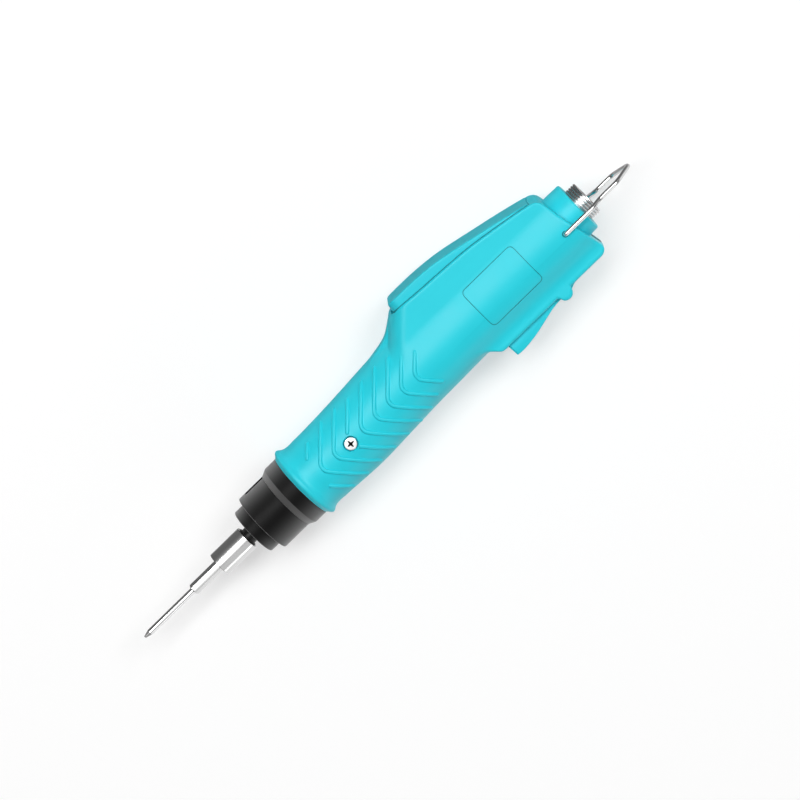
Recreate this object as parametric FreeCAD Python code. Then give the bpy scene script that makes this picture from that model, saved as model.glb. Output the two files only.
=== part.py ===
import FreeCAD, Part
import math
import os
from FreeCAD import Vector

# Inline electric screwdriver with a start lever, lying on its far broad side.
# While it is being built, X runs along the tool axis from the bit to the connector, with zero at the
# mouth of the handle, Y points to the lever side and Z to the near broad side.
# At the end every piece is moved so that the origin lies under the middle of the footprint.

# Fits
seat_gap = 0.1
run_gap = 0.05
free_gap = 0.35
seam_gap = 0.1

# Bit and quick-change sleeve
blade_radius = 1.5
blade_length = 31.0
point_length = 3.2
point_flat = 0.35
flute_length = 5.0
flute_width = 0.75
shank_flats = 5.0
shank_reach = 16.9
shank_tail = 18.2
sleeve_spring_room = 1.15
sleeve_length = 17.8
sleeve_land = 5.6
sleeve_wall = 0.8
sleeve_wire = 0.6
sleeve_turns = 3

# Spindle and nose
spindle_radius = 4.05
spindle_tip = 0.8
shoulder_rise = 0.8
shoulder_length = 1.7
shoulder_show = 0.5
shaft_show = 3.7
adjuster_wall = 2.25
adjuster_reach = 5.9
adjuster_front = 1.5
adjuster_length = 9.3
barrel_wall = 3.0
barrel_step = 0.3
barrel_reach = 14.9
window_width = 5.0
window_front = 3.7
nut_wall = 1.55
nut_length = 9.9
nut_chamfer = 3.2

# Torque setting
nose_wall = 3.3
seat_wall = 2.15
seat_tube_front = 5.1
pointer_front = 13.3
pointer_length = 2.5
pointer_width = 4.3
pointer_inset = 0.4
clutch_wire = 1.6
clutch_turns = 3

# Gear case and motor
case_step = 0.6
case_front = 5.6
case_length = 43.6
shaft_depth = 12.0
shaft_play = 0.3
motor_rear = 92.1

# Handle and head
mouth_rim = 0.2
collar_rise = 2.3
collar_peak = 2.3
collar_length = 6.8
grip_wall = 3.45
grip_front_centre = -0.6
grip_low_at = 34.0
grip_low_centre = -0.35
grip_top_at = 70.0
head_centre = 1.8
rim_wall = 1.95
head_edge = 1.8
flange_half = 10.5
flange_edge = 1.1
flare_start = 66.0
flare_start_y = 19.3
flare_start_half = 5.0
flare_middle = 76.5
flare_middle_y = 22.6
flare_end = 83.6
flare_end_y = 28.1
rim_mid = 119.4
rim_mid_y = 26.5
rim_inset = 0.5
rim_end_y = 20.7
end_round = 4.5
end_margin = 7.8
end_slope = 0.1886
flange_reach = 19.5
flange_flare_length = 6.5
flange_flare_start_y = 15.0
flange_flare_inset = 1.9
flange_cut_x = 2.8
flange_cut_y = 3.8
cavity_margin_end = 1.1
cavity_margin = 0.1
cavity_step = 6.5
cavity_floor = 13.2
flange_wall = 2.2
well_floor = 19.2

# Grip screw
screw_inset = 6.8
screw_head_radius = 3.1
screw_head_height = 1.6
screw_sink = 0.35
screw_radius = 1.5
screw_length = 6.6

# Start lever
lever_half = 13.3
lever_front = 85.5
lever_front_lean = 1.2
lever_crest_y = 32.6
lever_bend = 140.0
lever_bend_corner = 112.0
lever_length = 77.4
lever_tail_y = 21.1
lever_skirt_front_y = 24.2
lever_skirt_tail_y = 19.9
lever_skin = 2.2
lever_wall = 1.8
pocket_inset = 8.3
spring_to_pocket = 20.5
lever_hub_inset = 4.6
lever_hub_y = 16.6
lever_hub_radius = 3.3
lever_pin_radius = 1.5
lever_pin_seat = 1.1
pusher_inset = 6.0
pusher_length = 2.6
pusher_half = 4.0
lever_spring_inset = 5.5
lever_spring_radius = 2.9
lever_spring_wire = 0.8
lever_spring_turns = 4

# Direction rocker
rocker_half = 7.0
rocker_pivot_inset = 24.0
rocker_pivot_y = -19.8
rocker_hub_radius = 3.0
rocker_pin_radius = 1.0
rocker_pin_seat = 2.2
ear_radius = 3.6
rocker_reach = 35.3
rocker_drop = 25.8
rocker_crown_inset = 13.2
rocker_crown_y = 24.8
rocker_waist_inset = 10.2
rocker_waist_y = 21.6
rocker_length = 48.0
rocker_tail_y = 19.3
rocker_inner_y = 17.0
lug_length = 12.0
lug_width = 2.2
lug_half = 2.5
slot_front_clear = 1.0
slot_tail_clear = 0.8

# Board and switches
board_start = 103.0
board_end_inset = 7.0
board_bottom = 5.2
board_thickness = 1.6
board_seat = 0.8
start_switch_length = 18.0
start_switch_height = 9.6
start_switch_half = 3.2
plunger_length = 4.4
plunger_half = 1.6
plunger_show = 2.6
plunger_travel = 2.4
direction_switch_length = 18.0
direction_switch_height = 10.2
direction_switch_half = 5.5
slider_height = 4.4
slider_length = 8.0
slider_half = 3.3
fork_gap = 0.45

# Connector
connector_y = 2.9
seat_boss_radius = 13.15
seat_boss_height = 7.2
barrel_thread_radius = 8.65
barrel_bore_radius = 7.2
connector_show = 5.5
spigot_depth = 5.7
spigot_step = 0.4
insert_sink = 0.6
contact_width = 1.4
contact_circle = 4.4
contact_count = 5
contact_sink = 1.8

# Hanger bail
bail_wire = 2.2
bail_inset = 5.0
bail_y = 0.3
bail_hole_floor = 14.6
bail_clear = 0.2
bail_bend = 0.6
bail_leg_reach = 4.5
bail_neck_length = 5.0
bail_neck_half = 14.0
bail_shoulder_length = 10.7
bail_apex_length = 9.3
bail_apex_half = 1.3

# Radii about the tool axis, each from the one inside it
shoulder_radius = spindle_radius + shoulder_rise
sleeve_radius = spindle_radius + sleeve_spring_room + sleeve_wall
nose_tube_radius = spindle_radius + run_gap + nose_wall
adjuster_thread_radius = nose_tube_radius + seat_wall + 2 * seat_gap
adjuster_radius = adjuster_thread_radius + adjuster_wall
barrel_radius = adjuster_radius + seat_gap + barrel_wall
nut_radius = barrel_radius + nut_wall
pointer_radius = barrel_radius - pointer_inset
clutch_mean_radius = nose_tube_radius + seat_gap + seat_wall / 2
case_radius = barrel_radius - case_step
bore_radius = case_radius + seat_gap
grip_radius = bore_radius + grip_wall
mouth_radius = nut_radius + mouth_rim
collar_radius = mouth_radius + collar_rise
bail_leg_half = grip_radius + bail_clear + bail_wire / 2

# Stations along the axis, each from the one before it
nut_front = -nut_length
barrel_front = nut_front - barrel_reach
adjuster_tip = barrel_front - adjuster_reach
sleeve_rear = adjuster_tip - shaft_show
sleeve_front = sleeve_rear - sleeve_length
shank_front = sleeve_front - shank_reach
bit_tip = shank_front - blade_length
bit_end = sleeve_front + shank_tail
spindle_front = sleeve_front + spindle_tip
land_rear = sleeve_front + sleeve_land
shoulder_rear = sleeve_rear + shoulder_show
shoulder_front = shoulder_rear - shoulder_length
nose_start = adjuster_tip + adjuster_front + 2 * seat_gap
seat_tube_start = adjuster_tip + seat_tube_front
pointer_start = adjuster_tip + pointer_front
pointer_end = pointer_start + pointer_length
case_start = -case_front
case_rear = case_start + case_length
spindle_rear = case_start + shaft_depth - shaft_play
screw_at = case_rear - screw_inset
board_top = board_bottom + board_thickness
switch_top = board_top + start_switch_height
lever_tail = lever_front + lever_length
rim_end = lever_tail - rim_inset
end_at_axis = lever_tail + end_margin
cavity_end = lever_tail + cavity_margin_end
lever_hub_x = lever_tail - lever_hub_inset
lever_pocket_tail = lever_hub_x - pocket_inset
lever_spring_x = lever_pocket_tail - spring_to_pocket
lever_spring_edge = lever_spring_x + lever_spring_radius + lever_spring_wire
switch_end = lever_spring_x - lever_spring_inset
start_switch_start = switch_end - start_switch_length
pusher_x = start_switch_start + pusher_inset
board_end = cavity_end - board_end_inset
rocker_pivot_x = end_at_axis - rocker_pivot_inset
rocker_front = rocker_pivot_x - rocker_reach
rocker_crown_x = rocker_front + rocker_crown_inset
rocker_waist_x = rocker_pivot_x - rocker_waist_inset
rocker_tail = rocker_front + rocker_length
flange_flare_end = rocker_front - flange_flare_inset
flange_flare_start = flange_flare_end - flange_flare_length
slot_front = rocker_front - slot_front_clear
slot_tail = rocker_tail + slot_tail_clear
seat_boss_top = end_at_axis + seat_boss_height
barrel_start = end_at_axis - spigot_depth
barrel_end = seat_boss_top + connector_show
insert_top = seat_boss_top - insert_sink
contact_end = barrel_end - contact_sink
bail_x = end_at_axis - bail_inset
bail_leg_end = seat_boss_top + bail_leg_reach
bail_neck = bail_leg_end + bail_neck_length
bail_shoulder = bail_neck + bail_shoulder_length
bail_apex = bail_shoulder + bail_apex_length

# Widths across the tool, each from the lever's
head_half = lever_half + free_gap + rim_wall
cavity_half = lever_half + cavity_margin

# Seat of the grip screw
screw_top = math.sqrt(grip_radius ** 2 - grip_low_centre ** 2) - screw_sink
screw_shoulder = screw_top - screw_head_height

# Place of the origin: under the middle of the footprint
middle_x = (bit_tip + bail_apex) / 2
middle_y = (lever_crest_y - rocker_drop) / 2
lowest_z = -(bail_leg_half + bail_wire / 2)


def cylinder(x0, x1, radius, y=0.0, z=0.0):
    """Round bar along the tool axis."""
    return Part.makeCylinder(radius, x1 - x0, Vector(x0, y, z), Vector(1, 0, 0))


def post(x, y, z0, z1, radius):
    """Round bar across the tool, from one height to another."""
    return Part.makeCylinder(radius, z1 - z0, Vector(x, y, z0), Vector(0, 0, 1))


def tube(x0, x1, outer, inner, y=0.0):
    """Ring along the tool axis."""
    return cylinder(x0, x1, outer, y).cut(cylinder(x0 - 1, x1 + 1, inner, y))


def block(x0, x1, y0, y1, half):
    """Box that is even about the middle plane."""
    return Part.makeBox(x1 - x0, y1 - y0, 2 * half, Vector(x0, y0, -half))


def turned(points, y=0.0):
    """Solid turned about the tool axis from corners given as (x, radius)."""
    corners = [Vector(x, r, 0) for x, r in points]
    face = Part.Face(Part.makePolygon(corners + corners[:1]))
    solid = face.revolve(Vector(0, 0, 0), Vector(1, 0, 0), 360)
    solid.translate(Vector(0, y, 0))
    return solid


def outline(points):
    """Closed flat outline from corners given as (x, y)."""
    corners = [Vector(x, y, 0) for x, y in points]
    return Part.makePolygon(corners + corners[:1])


def prism(wire, z0, z1):
    """Solid raised from a flat outline between two heights."""
    face = Part.Face(wire)
    face.translate(Vector(0, 0, z0))
    return face.extrude(Vector(0, 0, z1 - z0))


def chain(edges):
    """Closed outline from edges that follow each other."""
    return Part.Wire(edges)


def line(start, end):
    """Straight edge between two flat points."""
    return Part.makeLine(Vector(start[0], start[1], 0), Vector(end[0], end[1], 0))


def bow(start, middle, end):
    """Round edge through three flat points."""
    points = [Vector(p[0], p[1], 0) for p in (start, middle, end)]
    return Part.Arc(*points).toShape()


def hexagon_bar(x0, x1, flats, turn=0.0):
    """Six-sided bar along the tool axis, a flat turned to the near side."""
    corner = flats / math.sqrt(3)
    points = []
    for number in range(6):
        angle = math.radians(60 * number + turn)
        points.append(Vector(x0, corner * math.cos(angle), corner * math.sin(angle)))
    face = Part.Face(Part.makePolygon(points + points[:1]))
    return face.extrude(Vector(x1 - x0, 0, 0))


def edges_that(solid, test):
    """Edges of a solid whose middle point passes a test."""
    found = []
    for edge in solid.Edges:
        middle = edge.valueAt((edge.FirstParameter + edge.LastParameter) / 2)
        if test(middle):
            found.append(edge)
    return found


def around_axis(solid, count, start=0.0):
    """Copies of a solid spread evenly round the tool axis."""
    copies = []
    for number in range(count):
        copy = solid.copy()
        copy.rotate(Vector(0, 0, 0), Vector(1, 0, 0), start + 360.0 * number / count)
        copies.append(copy)
    return copies


def mirrored(solid):
    """The same solid on the far side of the middle plane."""
    return solid.mirror(Vector(0, 0, 0), Vector(0, 0, 1))


def coil(start, direction, length, mean_radius, wire, turns):
    """Wound square wire spring from a start point along a direction, twelve flats to a turn."""
    steps = 12 * turns
    rings = []
    for step in range(steps + 1):
        angle = 2 * math.pi * turns * step / steps
        outward = Vector(math.cos(angle), math.sin(angle), 0)
        foot = Vector(0, 0, (length - wire) * step / steps)
        rise = Vector(0, 0, wire)
        inner = outward * (mean_radius - wire / 2) + foot
        outer = outward * (mean_radius + wire / 2) + foot
        rings.append((inner, outer, outer + rise, inner + rise))
    flats = [rings[0], rings[-1]]
    for one, two in zip(rings, rings[1:]):
        flats.append((one[1], two[1], two[2], one[2]))
        flats.append((one[3], two[3], two[0], one[0]))
        for low, high in ((0, 1), (2, 3)):
            flats.append((one[low], one[high], two[high]))
            flats.append((one[low], two[high], two[low]))
    faces = [Part.Face(Part.makePolygon(list(flat) + [flat[0]])) for flat in flats]
    solid = Part.Solid(Part.Shell(faces))
    if solid.Volume < 0:
        solid.reverse()
    solid.Placement = FreeCAD.Placement(start, FreeCAD.Rotation(Vector(0, 0, 1), direction))
    return solid


def past(point, direction):
    """Everything past a flat through a point, facing a direction."""
    big = 500.0
    solid = Part.makeBox(big, big, big, Vector(-big / 2, -big / 2, 0))
    solid.Placement = FreeCAD.Placement(point, FreeCAD.Rotation(Vector(0, 0, 1), direction))
    return solid


def bent_bar(points, radius):
    """Round bar along straight runs that meet in mitred corners."""
    runs = []
    for number in range(len(points) - 1):
        start, end = points[number], points[number + 1]
        along = (end - start).normalize()
        extra = 2 * radius
        run = Part.makeCylinder(radius, (end - start).Length + 2 * extra, start - along * extra, along)
        before = along
        after = along
        if number > 0:
            before = along + (start - points[number - 1]).normalize()
        if number < len(points) - 2:
            after = along + (points[number + 2] - end).normalize()
        run = run.cut(past(start, -before)).cut(past(end, after))
        runs.append(run)
    solid = runs[0]
    for run in runs[1:]:
        solid = solid.fuse(run)
    return solid


def screw_bit():
    """Round blade with a cross point, on a hexagonal shank."""
    point = [(bit_tip, 0), (bit_tip, point_flat), (bit_tip + point_length, blade_radius)]
    blade = turned(point + [(shank_front + 1, blade_radius), (shank_front + 1, 0)])
    lean = math.degrees(math.atan2(blade_radius, flute_length))
    flute = Part.makeBox(flute_length + 4, 2 * blade_radius, 2 * blade_radius, Vector(-2, 0, 0))
    flute.rotate(Vector(0, 0, 0), Vector(0, 1, -1), -lean)
    flute.translate(Vector(bit_tip, flute_width / 2, flute_width / 2))
    for cut in around_axis(flute, 4):
        blade = blade.cut(cut)
    return blade.fuse(hexagon_bar(shank_front, bit_end, shank_flats)).removeSplitter()


def bit_sleeve():
    """Sliding sleeve with an inner land at its front for the spring to push on."""
    bore = spindle_radius + seat_gap
    wide = sleeve_radius - sleeve_wall
    return turned([(sleeve_front, bore), (sleeve_front, sleeve_radius), (sleeve_rear, sleeve_radius),
                   (sleeve_rear, wide), (land_rear, wide), (land_rear, bore)])


def spindle():
    """Shaft with a hexagonal socket and a shoulder behind the sleeve spring."""
    r = spindle_radius
    solid = turned([(spindle_front, 0), (spindle_front, r), (shoulder_front, r),
                    (shoulder_front, shoulder_radius), (shoulder_rear, shoulder_radius), (shoulder_rear, r),
                    (spindle_rear, r), (spindle_rear, 0)])
    return solid.cut(hexagon_bar(spindle_front - 1, bit_end + shaft_play, shank_flats + 2 * run_gap))


def torque_adjuster():
    """Turning ring at the nose, threaded inside for the torque seat."""
    rear = adjuster_tip + adjuster_length
    inner_front = adjuster_tip + adjuster_front
    hole = spindle_radius + free_gap
    return turned([(adjuster_tip, hole), (adjuster_tip, adjuster_radius), (rear, adjuster_radius),
                   (rear, adjuster_thread_radius), (inner_front, adjuster_thread_radius),
                   (inner_front, hole)])


def torque_barrel():
    """Barrel round the torque adjuster, stepped down under the nut, with the pointer window."""
    inner = adjuster_radius + seat_gap
    rear = case_start - seat_gap
    solid = turned([(barrel_front, inner), (barrel_front, barrel_radius), (nut_front, barrel_radius),
                    (nut_front, barrel_radius - barrel_step), (rear, barrel_radius - barrel_step), (rear, inner)])
    start = barrel_front + window_front
    return solid.cut(block(start, nut_front - seat_gap, inner - 2, barrel_radius + 2, window_width / 2))


def nose_nut():
    """Union nut with a chamfered front that joins the barrel to the gear case."""
    bore = barrel_radius - barrel_step + seat_gap
    front = nut_front + seat_gap
    return turned([(front, bore), (nut_front + nut_chamfer, nut_radius), (-seat_gap, nut_radius),
                   (-seat_gap, bore)])


def torque_seat():
    """Threaded tube that the clutch spring pushes on, with a pointer that shows in the window."""
    outer = adjuster_thread_radius - seat_gap
    solid = tube(seat_tube_start, pointer_end, outer, nose_tube_radius + seat_gap)
    pointer = block(pointer_start, pointer_end, outer - 1, pointer_radius, pointer_width / 2)
    return solid.fuse(pointer).removeSplitter()


def gear_case():
    """Closed gear case with a nose tube that the spindle turns in."""
    solid = turned([(nose_start, 0), (nose_start, nose_tube_radius), (case_start, nose_tube_radius),
                    (case_start, case_radius), (case_rear, case_radius), (case_rear, 0)])
    solid = solid.cut(cylinder(nose_start - 1, case_start + shaft_depth, spindle_radius + run_gap))
    return solid.cut(post(screw_at, 0, screw_shoulder - screw_length, 30, screw_radius))


def grip_form():
    """Round grip and the round bulge of the head, one radius along a slightly bent line."""
    places = [(collar_peak, grip_front_centre), (grip_low_at, grip_low_centre), (grip_top_at, head_centre),
              (end_at_axis + 10, head_centre)]
    return bent_bar([Vector(x, y, 0) for x, y in places], grip_radius)


def end_point(y):
    """Point of the slanted end face at a distance to the lever side."""
    return (end_at_axis - end_slope * y, y)


def beyond_end(inset):
    """Everything past the slanted end face, which may be drawn inward."""
    far = 60.0
    near_top = end_point(far)
    near_low = end_point(-far)
    points = [(near_top[0] - inset, far), (near_low[0] - inset, -far), (far * 5, -far), (far * 5, far)]
    return prism(outline(points), -far, far)


def flare_form():
    """Shoulder that widens the grip into the head, thinner toward the grip."""
    start = (flare_start, flare_start_y)
    peak = (flare_end, flare_end_y)
    edges = [bow(start, (flare_middle, flare_middle_y), peak), line(peak, (flare_end, 0)),
             line((flare_end, 0), (flare_start, 0)), line((flare_start, 0), start)]
    solid = prism(chain(edges), -head_half, head_half)
    slant = Vector(flare_start - flare_end, 0, 0) + Vector(0, 0, head_half - flare_start_half)
    across = Vector(0, 1, 0).cross(slant)
    return solid.cut(past(Vector(flare_end, 0, head_half), across if across.z > 0 else -across))


def head_slab():
    """Flat lever side of the head, with bevelled rims."""
    low = end_point(rim_end_y - end_round)
    points = [(flare_end, 0), (flare_end, flare_end_y), (rim_mid, rim_mid_y), (rim_end, rim_end_y), low,
              end_point(0)]
    solid = prism(outline(points), -head_half, head_half)
    rims = edges_that(solid, lambda p: abs(p.z) > head_half - 0.1 and p.y > 0.1 and p.x > flare_end + 0.1)
    return solid.makeChamfer(head_edge, rims)


def rocker_flange():
    """Thinner flange on the rocker side of the head."""
    low = end_point(-(flange_reach - flange_cut_y))
    points = [(flange_flare_start, 0), (flange_flare_start, -flange_flare_start_y),
              (flange_flare_end, -flange_reach), (low[0] - flange_cut_x, -flange_reach), low, end_point(0)]
    solid = prism(outline(points), -flange_half, flange_half)
    rims = edges_that(solid, lambda p: abs(p.z) > flange_half - 0.1 and p.y < -flange_flare_start_y - 0.5)
    return solid.makeChamfer(flange_edge, rims)


def front_collar():
    """Raised collar at the mouth of the grip."""
    inner = bore_radius - 1
    return turned([(0, inner), (0, mouth_radius), (collar_peak, collar_radius),
                   (collar_length, grip_radius - 1), (collar_length, inner)])


def lever_bend_points():
    """Outer line of the lever: flat crest, wide bend, straight fall to the tail."""
    fall = math.atan2(lever_crest_y - lever_tail_y, lever_tail - lever_bend_corner)
    cut = lever_bend * math.tan(fall / 2)
    start = (lever_bend_corner - cut, lever_crest_y)
    end = (lever_bend_corner + cut * math.cos(fall), lever_crest_y - cut * math.sin(fall))
    middle = (start[0] + lever_bend * math.sin(fall / 2),
              lever_crest_y - lever_bend * (1 - math.cos(fall / 2)))
    return start, middle, end


def lever_block(inset, half, front, tail, floor_front, floor_tail):
    """Solid under the outer line of the lever, drawn in by a skin thickness."""
    start, middle, end = lever_bend_points()
    top = (front + lever_front_lean, lever_crest_y - inset)
    slope = (end[1] - lever_tail_y) / (lever_tail - end[0])
    back = (tail, lever_tail_y + slope * (lever_tail - tail) - inset)
    start, middle, end = [(p[0], p[1] - inset) for p in (start, middle, end)]
    low_tail = (tail, floor_tail)
    low_front = (front + 0.4, floor_front)
    edges = [line(top, start), bow(start, middle, end), line(end, back), line(back, low_tail),
             line(low_tail, low_front), line(low_front, top)]
    return prism(chain(edges), -half, half)


def start_lever():
    """Hollow lever with a hinge hub, a pusher for the switch and a spring post."""
    solid = lever_block(0, lever_half, lever_front, lever_tail, lever_skirt_front_y, lever_skirt_tail_y)
    pocket = lever_block(lever_skin, lever_half - lever_wall, lever_front + lever_skin, lever_pocket_tail,
                         lever_skirt_front_y - 5, lever_skirt_tail_y - 5)
    solid = solid.cut(pocket)
    hub = post(lever_hub_x, lever_hub_y, -lever_half, lever_half, lever_hub_radius)
    web = block(lever_hub_x - lever_hub_radius, lever_hub_x + lever_hub_radius,
                lever_hub_y, lever_skirt_tail_y + 0.6, lever_half)
    solid = solid.fuse(hub).fuse(web)
    foot = switch_top + plunger_show + free_gap
    pusher = block(pusher_x - pusher_length / 2, pusher_x + pusher_length / 2,
                   foot, lever_crest_y - lever_skin, pusher_half)
    solid = solid.fuse(pusher).removeSplitter()
    return solid.cut(post(lever_hub_x, lever_hub_y, -30, 30, lever_pin_radius + run_gap))


def direction_rocker():
    """Two-armed rocker with a hub between the ears and a lug for the slider."""
    front_low = (rocker_front + 0.5, -rocker_drop)
    crown = (rocker_crown_x, -rocker_crown_y)
    waist = (rocker_waist_x, -rocker_waist_y)
    edges = [line((rocker_front, -rocker_inner_y - 3), front_low),
             bow(front_low, crown, waist),
             line(waist, (rocker_pivot_x, -rocker_waist_y + 0.4)),
             line((rocker_pivot_x, -rocker_waist_y + 0.4), (rocker_tail - 6, -rocker_tail_y)),
             line((rocker_tail - 6, -rocker_tail_y), (rocker_tail, -rocker_tail_y)),
             line((rocker_tail, -rocker_tail_y), (rocker_tail, -rocker_inner_y + 1)),
             line((rocker_tail, -rocker_inner_y + 1), (rocker_pivot_x, -rocker_inner_y)),
             line((rocker_pivot_x, -rocker_inner_y), (rocker_front, -rocker_inner_y - 3))]
    solid = prism(chain(edges), -rocker_half, rocker_half)
    solid = solid.fuse(post(rocker_pivot_x, rocker_pivot_y, -rocker_half, rocker_half, rocker_hub_radius))
    lug = block(rocker_pivot_x - lug_width / 2, rocker_pivot_x + lug_width / 2,
                rocker_pivot_y + 1, rocker_pivot_y + lug_length, lug_half)
    solid = solid.fuse(lug).removeSplitter()
    return solid.cut(post(rocker_pivot_x, rocker_pivot_y, -20, 20, rocker_pin_radius + run_gap))


def direction_slider():
    """Forked slider that the lug of the rocker pushes along."""
    top = board_bottom - direction_switch_height - seat_gap
    bottom = top - slider_height
    half = slider_length / 2
    solid = block(rocker_pivot_x - half, rocker_pivot_x + half, bottom, top, slider_half)
    slot = lug_width / 2 + fork_gap
    depth = rocker_pivot_y + lug_length + fork_gap
    return solid.cut(block(rocker_pivot_x - slot, rocker_pivot_x + slot, bottom - 1, depth, slider_half + 1))


def connector_seat():
    """Round boss on the slanted end of the head."""
    bore = barrel_thread_radius - spigot_step + seat_gap
    solid = tube(end_at_axis - 10, seat_boss_top, seat_boss_radius, bore, connector_y)
    return solid.common(beyond_end(-seat_gap / 2))


def connector_barrel():
    """Metal ring of the connector, on a spigot that goes through the boss into the end wall."""
    inner = barrel_thread_radius - spigot_step
    step = seat_boss_top + seat_gap
    return turned([(barrel_start, barrel_bore_radius), (barrel_start, inner), (step, inner),
                   (step, barrel_thread_radius), (barrel_end, barrel_thread_radius),
                   (barrel_end, barrel_bore_radius)], connector_y)


def contact_pins():
    """Square pins that stand on the insert in a ring."""
    half = contact_width / 2
    pin = block(insert_top, contact_end, contact_circle - half, contact_circle + half, half)
    pins = around_axis(pin, contact_count, 180.0 / contact_count)
    for solid in pins:
        solid.translate(Vector(0, connector_y, 0))
    return pins


def hanger_bail():
    """Bent wire with both ends in the head, narrowing to a pointed loop."""
    cut = bail_bend
    apex = bail_apex - bail_wire / 2
    near = [(bail_x, bail_hole_floor), (bail_x, bail_leg_half - cut), (bail_x + cut, bail_leg_half),
            (bail_leg_end, bail_leg_half), (bail_neck, bail_neck_half), (bail_shoulder, bail_neck_half),
            (apex, bail_apex_half)]
    points = [Vector(x, bail_y, z) for x, z in near]
    far = [Vector(p.x, p.y, -p.z) for p in reversed(points)]
    return bent_bar(points + far, bail_wire / 2)


def grip_screw():
    """Screw from the near side through the grip into the gear case."""
    head = post(screw_at, 0, screw_shoulder, screw_top, screw_head_radius)
    shank = post(screw_at, 0, screw_shoulder - screw_length, screw_shoulder + 0.1, screw_radius)
    return head.fuse(shank).removeSplitter()


def near_form():
    """Outer form of the near half of the housing."""
    below = past(Vector(0, 0, seam_gap / 2), Vector(0, 0, -1))
    form = grip_form().cut(beyond_end(0)).cut(below)
    for part in (front_collar(), flare_form(), head_slab(), rocker_flange()):
        form = form.fuse(part.cut(below))
    ear = post(rocker_pivot_x, rocker_pivot_y, rocker_half + free_gap, flange_half, ear_radius)
    return form.fuse(ear)


def housing_hollow():
    """Everything that is cut out of the housing."""
    bore = cylinder(-1, motor_rear + seat_gap, bore_radius)
    start = motor_rear - 2
    cavity = block(start, cavity_end, -cavity_step, well_floor + 1, cavity_half)
    cavity = cavity.fuse(block(start, cavity_end, -cavity_floor, 0, flange_half - flange_wall))
    well = block(lever_front - 1.5, lever_tail + 0.5, well_floor, 60, lever_half + free_gap)
    slot = block(slot_front, slot_tail, -60, -cavity_floor + 1, rocker_half + free_gap)
    pin = lever_half + free_gap + lever_pin_seat
    hollow = bore.fuse(cavity).fuse(well).fuse(slot)
    hollow = hollow.fuse(post(lever_hub_x, lever_hub_y, -pin, pin, lever_pin_radius))
    axle = rocker_half + free_gap + rocker_pin_seat
    hollow = hollow.fuse(post(rocker_pivot_x, rocker_pivot_y, -axle, axle, rocker_pin_radius))
    hollow = hollow.fuse(post(bail_x, bail_y, bail_hole_floor - 0.3, 40, bail_wire / 2 + run_gap))
    hollow = hollow.fuse(post(bail_x, bail_y, -40, -bail_hole_floor + 0.3, bail_wire / 2 + run_gap))
    grooves = block(board_start - seat_gap, board_end + seat_gap, board_bottom - seat_gap,
                    board_top + seat_gap, cavity_half + board_seat + seat_gap)
    hollow = hollow.fuse(grooves)
    neck = cylinder(cavity_end - 1, end_at_axis + 10, barrel_thread_radius - spigot_step + seat_gap, connector_y)
    return hollow.fuse(neck)


def screw_hollow():
    """Stepped hole for the near grip screw."""
    hole = post(screw_at, 0, 5, 30, screw_radius + 2 * seat_gap)
    return hole.fuse(post(screw_at, 0, screw_shoulder, 30, screw_head_radius + 2 * seat_gap))


def housing_halves():
    """Near half with the screw hole, and far half."""
    half = near_form().cut(housing_hollow())
    return half.cut(screw_hollow()), mirrored(half)


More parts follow.
